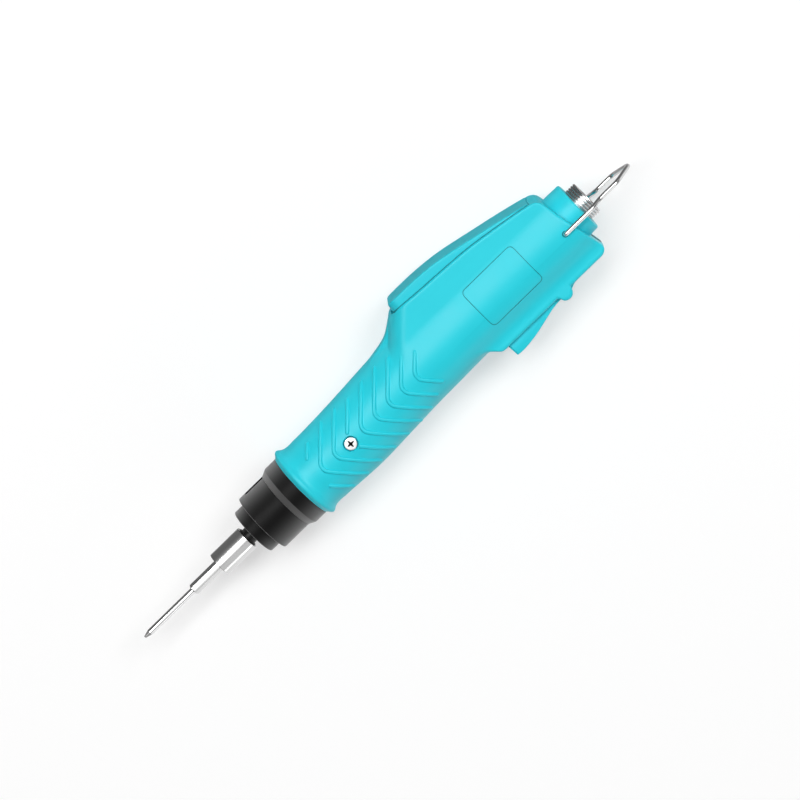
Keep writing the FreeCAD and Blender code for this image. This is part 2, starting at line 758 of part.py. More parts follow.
def pieces():
    """All pieces by name, each a list of solids."""
    near, far = housing_halves()
    lever_pin = lever_half + free_gap + lever_pin_seat
    rocker_pin = rocker_half + free_gap + rocker_pin_seat
    slope = (lever_crest_y - lever_tail_y) / (lever_tail - lever_bend_corner)
    spring_top = lever_tail_y + slope * (lever_tail - lever_spring_edge) - lever_skin
    spring_length = spring_top - board_top - 2 * run_gap
    plunger_low = switch_top + plunger_show - plunger_length
    plunger_x0 = pusher_x - plunger_half
    plunger_x1 = pusher_x + plunger_half
    plunger = block(plunger_x0, plunger_x1, plunger_low, switch_top + plunger_show, plunger_half)
    plunger_well = block(plunger_x0 - seat_gap, plunger_x1 + seat_gap, plunger_low - plunger_travel,
                         switch_top + 1, plunger_half + seat_gap)
    start_switch = block(start_switch_start, switch_end, board_top, switch_top, start_switch_half)
    direction_x0 = rocker_pivot_x - direction_switch_length / 2
    direction_switch = block(direction_x0, direction_x0 + direction_switch_length,
                             board_bottom - direction_switch_height, board_bottom, direction_switch_half)
    sleeve_mean_radius = (spindle_radius + sleeve_radius - sleeve_wall) / 2
    return {
        "housing_near": [near],
        "housing_far": [far],
        "grip_screw": [grip_screw()],
        "start_lever": [start_lever()],
        "lever_pin": [post(lever_hub_x, lever_hub_y, -lever_pin, lever_pin, lever_pin_radius)],
        "lever_spring": [coil(Vector(lever_spring_x, board_top + run_gap, 0), Vector(0, 1, 0), spring_length,
                              lever_spring_radius, lever_spring_wire, lever_spring_turns)],
        "start_switch": [start_switch.cut(plunger_well)],
        "start_plunger": [plunger],
        "direction_rocker": [direction_rocker()],
        "rocker_pin": [post(rocker_pivot_x, rocker_pivot_y, -rocker_pin, rocker_pin, rocker_pin_radius)],
        "direction_switch": [direction_switch],
        "direction_slider": [direction_slider()],
        "circuit_board": [block(board_start, board_end, board_bottom, board_top, cavity_half + board_seat)],
        "connector_seat": [connector_seat()],
        "connector_barrel": [connector_barrel()],
        "connector_insert": [cylinder(barrel_start, insert_top, barrel_bore_radius - run_gap, connector_y)],
        "contact_pins": contact_pins(),
        "hanger_bail": [hanger_bail()],
        "gear_case": [gear_case()],
        "motor": [cylinder(case_rear + seat_gap, motor_rear, case_radius)],
        "spindle": [spindle()],
        "torque_seat": [torque_seat()],
        "clutch_spring": [coil(Vector(pointer_end + run_gap, 0, 0), Vector(1, 0, 0),
                               case_start - pointer_end - 2 * run_gap,
                               clutch_mean_radius, clutch_wire, clutch_turns)],
        "torque_adjuster": [torque_adjuster()],
        "torque_barrel": [torque_barrel()],
        "nose_nut": [nose_nut()],
        "bit_sleeve": [bit_sleeve()],
        "sleeve_spring": [coil(Vector(land_rear + run_gap, 0, 0), Vector(1, 0, 0),
                               shoulder_front - land_rear - 2 * run_gap,
                               sleeve_mean_radius, sleeve_wire, sleeve_turns)],
        "screw_bit": [screw_bit()],
    }


def main():
    """Build every piece, move it to the shared frame and write it."""
    os.makedirs("parts", exist_ok=True)
    shift = Vector(-middle_x, -middle_y, -lowest_z)
    for name, solids in pieces().items():
        for solid in solids:
            solid.translate(shift)
        shape = solids[0] if len(solids) == 1 else Part.makeCompound(solids)
        shape.exportStep("parts/%s.step" % name)
        counted = sum(len(solid.Solids) for solid in solids)
        print(name, "solids", counted, "valid", shape.isValid(), "volume %.1f" % shape.Volume)
    print("shift %.4f %.4f %.4f" % (shift.x, shift.y, shift.z))


main()
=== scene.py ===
import math

import bmesh
import bpy
import numpy as np
from mathutils import Matrix, Vector


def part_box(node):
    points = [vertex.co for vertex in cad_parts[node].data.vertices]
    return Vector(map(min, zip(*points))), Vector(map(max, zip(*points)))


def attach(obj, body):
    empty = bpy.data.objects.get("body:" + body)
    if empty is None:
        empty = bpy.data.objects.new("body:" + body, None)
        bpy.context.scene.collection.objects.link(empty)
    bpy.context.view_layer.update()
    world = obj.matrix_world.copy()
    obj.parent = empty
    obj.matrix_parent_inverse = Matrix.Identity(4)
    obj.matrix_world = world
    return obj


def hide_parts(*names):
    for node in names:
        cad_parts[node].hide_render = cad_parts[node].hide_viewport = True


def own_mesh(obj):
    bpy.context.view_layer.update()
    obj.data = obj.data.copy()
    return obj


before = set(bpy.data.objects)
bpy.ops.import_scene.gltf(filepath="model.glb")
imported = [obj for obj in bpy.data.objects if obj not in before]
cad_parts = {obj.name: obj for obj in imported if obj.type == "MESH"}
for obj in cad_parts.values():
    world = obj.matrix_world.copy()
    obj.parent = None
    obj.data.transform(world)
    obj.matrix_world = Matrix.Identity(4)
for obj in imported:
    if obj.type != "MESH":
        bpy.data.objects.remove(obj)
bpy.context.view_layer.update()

# Sizes below are millimetres from the mouth of the handle: X along the tool axis to the connector,
# Y to the lever side, Z to the near broad side. The mouth and the axis are read from the frame.
barrel_low, barrel_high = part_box("torque_barrel")
mouth_point = np.array([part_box("housing_near")[0].x, (barrel_low.y + barrel_high.y) / 2,
                        (barrel_low.z + barrel_high.z) / 2])

full_turn = 2 * np.pi
seam_half = 0.05
wall_round = 1.1
motor_bore = 14.65
motor_end = 93.5
rear_bore = 8.4
end_at_axis = 170.7
end_slope = 0.1886
connector_y = 2.9
screw_at = 31.2
screw_top = 17.75
screw_seat_depth = 2.1
screw_seat_rim = (3.65, 3.3)
grip_end = 80
lever_front = 85.5
lever_tail = 162.9
lever_half = 13.3
lever_hinge = (158.3, 16.6)
well_front = 84.75
well_half = 13.8
well_corner = 5
well_step = 19.2
well_floor = 12.0
slot_front = 110.4
slot_tail = 157.4
slot_half = 7.35
slot_roof = -7
rocker_pivot = (146.7, -19.8)
bail_hole = (165.7, 0.3)
bail_radius = 1.1
bit_point = -100.1
hex_half = 2.5


# Curves and grids

def row_frame(points):
    """Tool millimetres to metres in the shared frame: scaled by a thousandth and moved to the mouth."""
    return np.asarray(points, float) * 0.001 + mouth_point


def xyz(x, y, z):
    """Points from their three parts, each spread over the shape they share."""
    return np.stack(np.broadcast_arrays(x, y, z), -1)


def unit(v):
    """Vectors brought to a length of 1."""
    return v / np.linalg.norm(v, axis=-1, keepdims=True)


def through(x, stations, values):
    """Smooth line through stations: Hermite cubics whose end slopes are central differences."""
    s = np.asarray(stations, float)
    v = np.asarray(values, float)
    slope = np.gradient(v, s)
    k = np.clip(np.searchsorted(s, x, side="right") - 1, 0, len(s) - 2)
    h = s[k + 1] - s[k]
    t = np.clip((x - s[k]) / h, 0.0, 1.0)
    ahead = t * t * (3 - 2 * t)
    bend = h * (slope[k] * t * (1 - t) ** 2 + slope[k + 1] * t * t * (t - 1))
    return v[k] * (1 - ahead) + v[k + 1] * ahead + bend


def eased(low, high, x):
    """Smooth step: 0 below low, 1 above high, the cubic 3t^2 - 2t^3 between."""
    t = np.clip((x - low) / (high - low), 0.0, 1.0)
    return t * t * (3 - 2 * t)


def rounded(share):
    """Rise of a quarter circle: 0 at a share of 0, level at a share of 1."""
    return np.sqrt(1 - (1 - np.clip(share, 0, 1)) ** 2)


def soft_union(a, b, reach):
    """Smaller of two distances, lowered by a quarter parabola where they are within reach of each other."""
    close = np.maximum(reach - np.abs(a - b), 0.0)
    return np.minimum(a, b) - close * close / (4 * reach)


def round_corners(corners, steps=6):
    """Closed outline from (x, y, cut): each corner is a parabola between the points a cut away on its edges."""
    c = np.asarray(corners, float)
    p = c[:, :2]
    before = np.roll(p, 1, axis=0) - p
    after = np.roll(p, -1, axis=0) - p
    long_before = np.linalg.norm(before, axis=1)[:, None]
    long_after = np.linalg.norm(after, axis=1)[:, None]
    cut = np.minimum(c[:, 2:3], 0.49 * np.minimum(long_before, long_after))
    start = p + before / long_before * cut
    end = p + after / long_after * cut
    t = np.linspace(0, 1, steps)[None, :, None]
    arcs = start[:, None] * (1 - t) ** 2 + 2 * p[:, None] * t * (1 - t) + end[:, None] * t * t
    return arcs.reshape(-1, 2)


def evened(outline, count):
    """Closed outline walked at equal steps: its points read off against the length run so far."""
    ring = np.concatenate([outline, outline[:1]])
    run = np.concatenate([[0], np.cumsum(np.linalg.norm(np.diff(ring, axis=0), axis=1))])
    at = np.linspace(0, run[-1], count, endpoint=False)
    return np.stack([np.interp(at, run, ring[:, 0]), np.interp(at, run, ring[:, 1])], -1)


def outward_of(outline):
    """Unit normals of a closed outline, pointing away from its inside."""
    along = np.roll(outline, -1, axis=0) - np.roll(outline, 1, axis=0)
    along /= np.maximum(np.linalg.norm(along, axis=1)[:, None], 1e-9)
    area = np.sum(outline[:, 0] * np.roll(outline[:, 1], -1) - outline[:, 1] * np.roll(outline[:, 0], -1))
    return np.stack([along[:, 1], -along[:, 0]], -1) * np.sign(area)


def grid_faces(rows, cols, wrap_rows=False, wrap_cols=False, first=0):
    """Four-cornered faces between neighbouring rows and columns of a grid of numbered points."""
    i = np.arange(rows if wrap_rows else rows - 1)[:, None]
    j = np.arange(cols if wrap_cols else cols - 1)[None, :]
    i2 = (i + 1) % rows
    j2 = (j + 1) % cols
    corners = np.stack(np.broadcast_arrays(i * cols + j, i * cols + j2, i2 * cols + j2, i2 * cols + j), -1)
    return corners.reshape(-1, 4) + first


def strip_faces(one, two, wrap=False):
    """Four-cornered faces between two rows of point numbers of equal length."""
    a = np.asarray(one)
    b = np.asarray(two)
    if wrap:
        a = np.append(a, a[0])
        b = np.append(b, b[0])
    return np.stack([a[:-1], a[1:], b[1:], b[:-1]], -1)


def tube_shell(points, capped=True):
    """Shell from rings of points: walls between neighbouring rings, and a cap on the first and the last one."""
    rows, count = points.shape[:2]
    caps = [np.arange(count), (rows - 1) * count + np.arange(count)] if capped else []
    return points.reshape(-1, 3), grid_faces(rows, count, False, True), caps


def joined(*shells):
    """Several shells (points, faces, caps) as one, the later numbers counted on from the earlier points."""
    firsts = np.cumsum([0] + [len(points) for points, _, _ in shells])
    points = np.concatenate([shell[0] for shell in shells])
    faces = np.concatenate([shell[1] + first for shell, first in zip(shells, firsts)])
    caps = [cap + first for shell, first in zip(shells, firsts) for cap in shell[2]]
    return points, faces, caps


def add_object(name, data):
    """New object in the scene."""
    made = bpy.data.objects.new(name, data)
    bpy.context.scene.collection.objects.link(made)
    return made


def make_piece(name, shell, body, material, nodes=(), sharp=38):
    """One closed mesh from (points, faces, caps): doubles merged, faces turned outward, rounded shading."""
    points, faces, caps = shell
    mesh = bpy.data.meshes.new(name)
    mesh.from_pydata(row_frame(points).tolist(), [], faces.tolist() + [cap.tolist() for cap in caps])
    work = bmesh.new()
    work.from_mesh(mesh)
    bmesh.ops.remove_doubles(work, verts=work.verts, dist=2e-6)
    bmesh.ops.dissolve_degenerate(work, edges=work.edges, dist=1e-7)
    bmesh.ops.recalc_face_normals(work, faces=work.faces)
    work.to_mesh(mesh)
    work.free()
    mesh.polygons.foreach_set("use_smooth", np.ones(len(mesh.polygons), bool))
    mesh.set_sharp_from_angle(angle=math.radians(sharp))
    piece = add_object(name, mesh)
    mesh.materials.append(material)
    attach(piece, body)
    if nodes:
        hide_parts(*nodes)
    return piece


def ring_angles(count):
    """Even angles once round."""
    return np.linspace(0, full_turn, count, endpoint=False)


def turned(corners, y=0.0, around=112, steps=6):
    """Ring or bar about the tool axis: a closed outline (x, radius, cut) carried round in a circle."""
    outline = round_corners(corners, steps)
    angle = ring_angles(around)[:, None]
    points = xyz(outline[:, 0], y + outline[:, 1] * np.cos(angle), outline[:, 1] * np.sin(angle))
    return points.reshape(-1, 3), grid_faces(around, len(outline), True, True), []


def spun(x, radius, angle):
    """Bar about the tool axis whose radius varies along it and round it, closed to the axis at both ends."""
    x = np.concatenate([x[:1], x, x[-1:]])
    closed = np.zeros((1, radius.shape[1]))
    r = np.concatenate([closed, radius, closed])
    return tube_shell(xyz(x[:, None], r * np.cos(angle), r * np.sin(angle)), capped=False)


def swept(path, radius, across, sides=20):
    """Round bar along a flat path: at each point a circle in the plane of the path's normal and of across."""
    path = np.asarray(path, float)
    side = unit(np.cross(unit(np.gradient(path, axis=0)), across))
    angle = ring_angles(sides)[None, :, None]
    ring = side[:, None] * np.cos(angle) + np.asarray(across, float) * np.sin(angle)
    return tube_shell(path[:, None] + ring * radius)


def plate(corners, half, edge, steps=6):
    """Flat piece with rounded edges: an outline (x, y, cut) raised across the tool, drawn in near both faces
    by the gap of a quarter circle."""
    outline = round_corners(corners, steps)
    turn = np.linspace(0, np.pi / 2, 6)
    inset = np.concatenate([edge * (1 - np.sin(turn)), edge * (1 - np.sin(turn[::-1]))])
    z = np.concatenate([-half + edge * (1 - np.cos(turn)), half - edge * (1 - np.cos(turn[::-1]))])
    flat = outline[None] - outward_of(outline)[None] * inset[:, None, None]
    return tube_shell(xyz(flat[..., 0], flat[..., 1], z[:, None]))


# Handle housing

grip_stations = [0, 0.7, 1.5, 2.3, 3.1, 4.2, 5.4, 6.8, 12, 33.4, 56.4, 69.4, 85, 100, 200]
grip_middles = [0, 0, 0, 0, -0.05, -0.1, -0.15, -0.2, -0.3, -0.4, 0.8, 1.5, 1.7, 1.8, 1.8]
grip_radii = [16.75, 17.45, 18.45, 18.95, 18.75, 17.95, 17.4, 17.15, 17.2, 18.0, 18.3, 18.4, 18.25, 18.0, 18.0]
rim_stations = [40, 52, 60, 66, 69.6, 72, 74.2, 76.5, 78.7, 80.9, 83.2, 84.4, 86, 101.3, 119.4, 128.4, 146.5, 162.3,
                164.2, 165.8, 167, 167.8, 168.4, 172]
rim_heights = [8, 12, 16, 18.8, 20, 20.9, 21.9, 23.2, 24.7, 26.3, 27.8, 28.3, 28.3, 27.4, 26.5, 25.9, 23.4, 20.7,
               20.25, 19.4, 18.3, 17, 15.6, 8]
flange_stations = [80, 93, 99, 102.3, 104.3, 105.8, 107.1, 108.3, 109.8, 112.6, 120, 130, 140, 150, 160, 167, 169.5,
                   170.8, 172, 173.2, 174.2, 176, 180]
flange_drops = [7, 9, 11, 13.2, 15.2, 16.9, 18.3, 19.2] + 9 * [19.5] + [19.4, 18.9, 17.9, 16.5, 13, 7.5]
head_half = 15.6
shoulder_corner = (81.9, 27.1)
shoulder_run = 8.2
shoulder_fall = 11
diagonal = 0.7071
rim_round = 0.9
flange_half = 10.5
flange_round = 1.5
ear_radius = 3.6
ear_blend = 1.2
slab_blend = 3
flange_blend = 3.8
halvings = 34


def housing_distance(x, y, z):
    """Below zero inside the handle: a round grip and bulge, a slab on the lever side and a thinner rounded flange
    on the rocker side, softly joined. The slab's broad faces fall off as a quarter ellipse behind a slanted
    shoulder line, and as a small quarter circle along the rest of its rim."""
    bulge = np.hypot(y - through(x, grip_stations, grip_middles), z) - through(x, grip_stations, grip_radii)
    rim = through(x, rim_stations, rim_heights)
    past_shoulder = ((x - shoulder_corner[0]) + (shoulder_corner[1] - y)) * diagonal
    half = head_half - shoulder_fall + shoulder_fall * rounded(past_shoulder / shoulder_run)
    half = half - rim_round + rim_round * rounded((rim - y) / rim_round)
    slab = np.maximum(np.maximum(np.abs(z) - half, y - rim), -y)
    drop = through(x, flange_stations, flange_drops)
    ear = np.sqrt(np.maximum(ear_radius ** 2 - (x - rocker_pivot[0]) ** 2, 0)) - rocker_pivot[1]
    ear = np.where(np.abs(x - rocker_pivot[0]) < ear_radius, ear, 0)
    drop = -soft_union(-drop, -ear, ear_blend)
    over_z = np.abs(z) - (flange_half - flange_round)
    over_y = -y - (drop - flange_round)
    flange = np.hypot(np.maximum(over_z, 0), np.maximum(over_y, 0))
    flange = np.maximum(flange + np.minimum(np.maximum(over_z, over_y), 0) - flange_round, y)
    return soft_union(soft_union(bulge, slab, slab_blend), flange, flange_blend)


def slant(s):
    """How far the sections lean toward the slanted end face: none before the head, all at the end."""
    return end_slope * eased(120, 165, s)


def crossing(inside, shape, longest):
    """Distance at which a test stops holding, by halving the span in which it is crossed."""
    low = np.zeros(shape)
    high = np.full(shape, float(longest))
    for _ in range(halvings):
        middle = (low + high) / 2
        held = inside(middle)
        low = np.where(held, middle, low)
        high = np.where(held, high, middle)
    return (low + high) / 2


def reach_out(s, start_y, start_z, step_y, step_z, longest):
    """Distance along rays to the skin of the handle, in sections that lean with the end face."""
    def inside(far):
        """Whether a point this far along its ray is in the handle."""
        y = start_y + far * step_y
        return housing_distance(s - slant(s) * y, y, start_z + far * step_z) < 0

    return crossing(inside, np.broadcast(s, start_y, start_z, step_y, step_z).shape, longest)


def skin_height(x, y):
    """Height of the near skin over points of the plan."""
    return crossing(lambda z: housing_distance(x, y, z) < 0, np.shape(x), longest=24)


def housing_sections():
    """Stations along the handle with what is cut there: lean coordinate, well floor, slot roof, bore, end inset."""
    front = [(0, 8, 26, 0, 0), (8, 27, 32, 0, 0), (27, 35.4, 40, 0, 0), (35.4, grip_end, 74, 0, 0),
             (grip_end, well_front, 12, 0, 0), (well_front, motor_end, 22, well_step, 0)]
    rear = [(motor_end, slot_front, 34, well_floor, 0), (slot_front, 142, 52, well_floor, slot_roof),
            (142, 152, 27, well_floor, slot_roof), (152, slot_tail, 9, well_floor, slot_roof),
            (slot_tail, 167, 18, well_floor, 0), (167, end_at_axis - wall_round, 6, 0, 0)]
    rows = [np.stack([np.linspace(a, b, n)] + [np.full(n, q, float) for q in (floor, roof, bore, 0)], -1)
            for bore, spans in ((motor_bore, front), (rear_bore, rear)) for a, b, n, floor, roof in spans]
    turn = np.linspace(0, np.pi / 2, 7)[1:]
    rounding = np.stack([end_at_axis - wall_round * (1 - np.sin(turn)), 0 * turn, 0 * turn, 0 * turn + rear_bore,
                         wall_round * (1 - np.cos(turn))], -1)
    return np.concatenate(rows + [rounding])


def well_edge(s):
    """Half width of the lever well: constant along its sides, a quarter circle at its front corners."""
    ahead = 1 - (s - grip_end) / (well_front - grip_end)
    bend = np.where(s < well_front, ahead, (s - well_front) / well_corner)
    return well_half - well_corner + well_corner * rounded(bend)


def housing_half(near):
    """Half of the handle: at each station the skin runs from the parting line on the rocker side round to the
    lever side, by rays to the soft outer form, with the rocker slot and the lever well let in, and back along
    a round bore."""
    rows = housing_sections()
    s, floor, roof, bore, inset = [rows[:, n:n + 1] for n in range(5)]
    middle = through(s, grip_stations, grip_middles)
    low_z = np.linspace(seam_half, slot_half, 12)[None]
    low_y = -reach_out(s, 0, low_z, -1, 0, 34)
    rim_z = well_edge(s)
    high_z = rim_z + (seam_half - rim_z) * np.linspace(0, 1, 26)[None]
    high_y = reach_out(s, 0, high_z, 1, 0, 36)
    first = np.arctan2(slot_half, low_y[:, -1:] - middle)
    last = np.arctan2(rim_z, high_y[:, :1] - middle)
    share = np.linspace(0, 1, 176)[None]
    angle = first + (last - first) * share
    ray = reach_out(s, middle, 0, np.cos(angle), np.sin(angle), 46)
    side_y = middle + ray * np.cos(angle)
    side_z = ray * np.sin(angle)
    climb = np.linspace(0, 1, 6)[None]
    roof_y = np.where(roof < 0, roof, low_y)
    floor_y = np.where(floor > 0, np.minimum(floor, high_y), high_y)
    slot_y = roof_y[:, -1:] + (low_y[:, -1:] - roof_y[:, -1:]) * climb
    well_y = high_y[:, :1] + (floor_y[:, :1] - high_y[:, :1]) * climb
    flat = np.zeros_like(climb)
    y = np.concatenate([roof_y, slot_y[:, 1:-1], side_y, well_y[:, 1:-1], floor_y], 1)
    z = np.concatenate([low_z + 0 * roof_y, slot_half + flat[:, 1:-1] + 0 * s, side_z,
                        rim_z + flat[:, 1:-1], high_z], 1)
    outward = unit(np.stack([y - middle, z], -1))
    raised = -inset + 0 * y
    if near:
        raised = raised - screw_seat_depth * eased(*screw_seat_rim, np.hypot(s - screw_at, y)) * (z > 5)
    y = y + outward[..., 0] * raised
    z = np.maximum(z + outward[..., 1] * raised, seam_half)
    count, across = y.shape
    bore_steps = 25
    outer = xyz(s - slant(s) * y, y, z)
    bow = np.linspace(np.pi, 0, bore_steps)[None]
    bore_y = np.where(s > motor_end, connector_y, 0) + bore * np.cos(bow)
    bore_z = np.maximum(bore * np.sin(bow), seam_half)
    inner = xyz(s - slant(s) * bore_y, bore_y, bore_z)
    points = np.concatenate([outer.reshape(-1, 3), inner.reshape(-1, 3)])
    outer_number = np.arange(count * across).reshape(count, across)
    inner_number = count * across + np.arange(count * bore_steps).reshape(count, bore_steps)
    faces = np.concatenate([grid_faces(count, across), grid_faces(count, bore_steps, first=count * across)[:, ::-1],
                            strip_faces(outer_number[:, 0], inner_number[:, 0]),
                            strip_faces(inner_number[:, -1], outer_number[:, -1])])
    caps = [np.concatenate([outer_number[k], inner_number[k][::-1]]) for k in (0, -1)]
    return points * [1, 1, 1 if near else -1], faces, caps


# What lies on the skin: grip ribs, name plate, and painted shade at seams, holes, the lever gap and a slot

rib_middle = 0.6
rib_bend = 4.3
rib_first = 73.65
rib_pitch = 8.47
rib_leans = (1.0, 0.78)
rib_tip = 1.1
rib_runs = [(0, -10.4, 9.6), (1, -13.4, 12.2), (2, -15.9, 15.4), (3, -17.2, 16.2), (4, -17.4, 15.8),
            (5, 3.4, 14.6), (5, -17.4, -3.6), (6, -17.3, 15.4), (7, -17.3, 15.4), (8, 7.4, 12.9), (8, -17.0, -7.4)]


def rib(number, low, high):
    """One raised chevron: its line runs on an arc between two straight legs, at 45 degrees on the lever side and
    steeper on the rocker side, lies on the round grip, and carries a low profile with steep flanks that closes in
    a half circle at both ends."""
    v = np.linspace(low, high, 90)
    lean = np.where(v > 0, *rib_leans)
    bend = rib_bend * lean / np.sqrt(1 + lean ** 2)
    arc = rib_bend - np.sqrt(np.maximum(rib_bend ** 2 - v * v, 0))
    leg = rib_bend - np.sqrt(rib_bend ** 2 - bend ** 2) + lean * (np.abs(v) - bend)
    turned_in = np.abs(v) < bend
    x = rib_first - rib_pitch * number + np.where(turned_in, arc, leg)
    slope = np.where(turned_in, v / np.sqrt(np.maximum(rib_bend ** 2 - v * v, 1)), np.sign(v) * lean)
    middle = through(x, grip_stations, grip_middles)
    radius = through(x, grip_stations, grip_radii)
    y = rib_middle + v - middle
    z = np.sqrt(radius ** 2 - y ** 2)
    up = xyz(0, y / radius, z / radius)
    across = np.cross(up, unit(xyz(slope, 1, -y / z)))
    left = np.minimum(v - low, high - v) / np.where(turned_in, 1, 0.75)
    size = rounded(np.maximum(left / rib_tip, 0.02))[:, None, None]
    profile = np.array([(-1, -0.3), (-1, 0.0), (-0.86, 0.18), (-0.7, 0.5), (-0.55, 0.66), (-0.28, 0.74), (0, 0.75),
                        (0.28, 0.74), (0.55, 0.66), (0.7, 0.5), (0.86, 0.18), (1, 0.0), (1, -0.3)])
    rise = profile[None, :, 1:]
    height = np.maximum(rise, 0) * size + np.minimum(rise, 0)
    line = xyz(x, y + middle, z)
    return tube_shell(line[:, None] + across[:, None] * profile[None, :, :1] * size + up[:, None] * height)


def ribs(side):
    """All chevrons of one broad side; the far side is the near one turned over the parting plane."""
    points, faces, caps = joined(*[rib(*run) for run in rib_runs])
    return points * [1, 1, side], faces, caps


def skin_band(outline, inner, outer, lift=0.03, side=1):
    """Thin closed band along an outline on the skin: four rings, two just above the skin and two in it."""
    out = outward_of(outline)
    rings = [outline + out * inner, outline + out * outer, outline + out * outer, outline + out * inner]
    lifts = [lift, lift, -0.25, -0.25]
    points = [xyz(*r.T, (skin_height(*r.T) + height) * side) for r, height in zip(rings, lifts)]
    return np.concatenate(points), grid_faces(4, len(outline), True, True), []


def skin_plate(outline, lift):
    """Thin plate laid on the skin: the outline drawn in toward its middle ring by ring, each point set a little
    above the skin, the rim rounded and let into it."""
    centre = outline.mean(axis=0)
    share = np.array([1, 1, 0.998, 0.99, 0.97, 0.9, 0.8, 0.7, 0.6, 0.5, 0.4, 0.3, 0.2, 0.1, 0.02])[:, None, None]
    height = np.array([-0.25, 0.3, 0.75] + 12 * [1])[:, None] * lift
    flat = centre + (outline - centre)[None] * share
    x, y = flat[..., 0], flat[..., 1]
    return tube_shell(xyz(x, y, skin_height(x, y) + height))


def circle(x, y, radius, count=48):
    """Closed round outline."""
    angle = ring_angles(count)
    return np.stack([x + radius * np.cos(angle), y + radius * np.sin(angle)], -1)


def lever_gap_shade_shell(side):
    """Painted shade in the gap beside the lever: a thin dark strip, a narrow upright profile carried along the edge of
    the well.
    """
    x = np.concatenate([np.linspace(86.2, 89.75, 14), np.linspace(90.5, 162.6, 60)])[:, None]
    across = np.array([-0.36, -0.02, -0.02, -0.36])[None]
    lift = np.array([0.34, 0.34, -1.5, -1.5])[None]
    z = (well_edge(x) + across) * side
    y = through(x, rim_stations, rim_heights) + lift
    return tube_shell(xyz(x, y, z))


def slot_shade_shell():
    """Painted shade of the small slot in the end face: a dark rounded plate across the end, just proud of the slant.
    """
    outline = round_corners([(-16.4, -6.2, 0.8), (-10.8, -6.2, 0.8), (-10.8, 0.4, 0.8), (-16.4, 0.4, 0.8)], 6)
    lifts = np.array([-0.4, 0.05])[:, None]
    x = end_at_axis - end_slope * outline[None, :, 0] + lifts
    return tube_shell(xyz(x, outline[:, 0], outline[:, 1]))


# Start lever and direction rocker

lever_stations = [80, 87.5, 95, 101.3, 110.3, 119.4, 128.4, 137.4, 146.5, 155.5, 163.2, 170]
lever_heights = [32.45, 32.5, 32.5, 32.4, 31.8, 30.6, 28.8, 26.9, 25.0, 22.95, 21.05, 19.3]
lean_from, lean_rise, lean_most, lean_reach = 26.5, 6, 0.9, 12


def lid(front, tail, half, skin, edge, corner):
    """Hollow lid over the lever well: a grid over its plan whose last rows and columns bend over a rounded edge
    and run down to the skirt. Height is the crest less the drop of the rounding, then a share of the wall. The
    half width grows from the front as a quarter circle, so that the front corners are round in plan, and the
    front wall leans back toward its top."""
    turn = np.linspace(np.pi / 2, 0, 7)
    wall = np.linspace(1, 0, 7)[:-1]
    gap = np.concatenate([0 * wall, edge * (1 - np.sin(turn))])
    share = np.concatenate([wall, 0 * turn])
    run = np.concatenate([front + edge + (corner - edge) * np.linspace(0, 1, 9) ** 1.3,
                          np.linspace(front + corner, tail - edge, 60)[1:]])[1:-1]
    x = np.concatenate([front + gap, run, tail - gap[::-1]])[:, None]
    down_x = np.concatenate([share, 0 * run, share[::-1]])[:, None]
    flat = np.linspace(-half + edge, half - edge, 26)[1:-1]
    z = np.concatenate([-half + gap, flat, half - gap[::-1]])[None]
    down_z = np.concatenate([share, 0 * flat, share[::-1]])[None]
    over_x = np.clip(edge - np.minimum(x - front, tail - x), 0, edge)
    over_z = np.clip(edge - (half - np.abs(z)), 0, edge)
    drop = edge - np.sqrt(np.maximum(edge ** 2 - over_x ** 2 - over_z ** 2, 0))
    crest = through(x, lever_stations, lever_heights) - skin - drop
    skirt = np.interp(x, [lever_front, lever_tail], [24.2, 19.9])
    y = crest + (skirt - crest) * np.maximum(down_x, down_z)
    short = np.clip(corner - (x - front), 0, corner)
    width = (half - corner + np.sqrt(corner ** 2 - short ** 2)) / half
    lean = np.clip((y - lean_from) / lean_rise, 0, 1) * lean_most * eased(lean_reach, 0, x - front)
    return xyz(x + lean, y, z * width)


def lever_shell():
    """Outer and inner lid joined along the skirt, with the hinge hub and the pusher under it."""
    skin, side_wall, hub_radius = 2.2, 1.8, 3.3
    outer = lid(lever_front, lever_tail, lever_half, skin=0, edge=0.9, corner=5.0)
    inner = lid(lever_front + skin, 150, lever_half - side_wall, skin, edge=0.6, corner=3.5)
    rows, cols = outer.shape[:2]
    points = np.concatenate([outer.reshape(-1, 3), inner.reshape(-1, 3)])
    number = np.arange(rows * cols).reshape(rows, cols)
    border = np.concatenate([number[0], number[1:, -1], number[-1, -2::-1], number[-2:0:-1, 0]])
    faces = np.concatenate([grid_faces(rows, cols), grid_faces(rows, cols, first=rows * cols)[:, ::-1],
                            strip_faces(border, border + rows * cols, wrap=True)[:, ::-1]])
    bow = np.linspace(np.pi, 2 * np.pi, 17)
    hx, hy = lever_hinge
    hub = [(hx + hub_radius * math.cos(a), hy + hub_radius * math.sin(a), 0) for a in bow]
    hub += [(161.6, 20.6, 0), (155, 20.6, 0)]
    pusher = [(110.7, 19.35, 0.6), (113.3, 19.35, 0.6), (113.3, 30, 0.1), (110.7, 30, 0.1)]
    return joined((points, faces, []), plate(hub, 12.9, 0.4, 2), plate(pusher, 4, 0.4, 4))


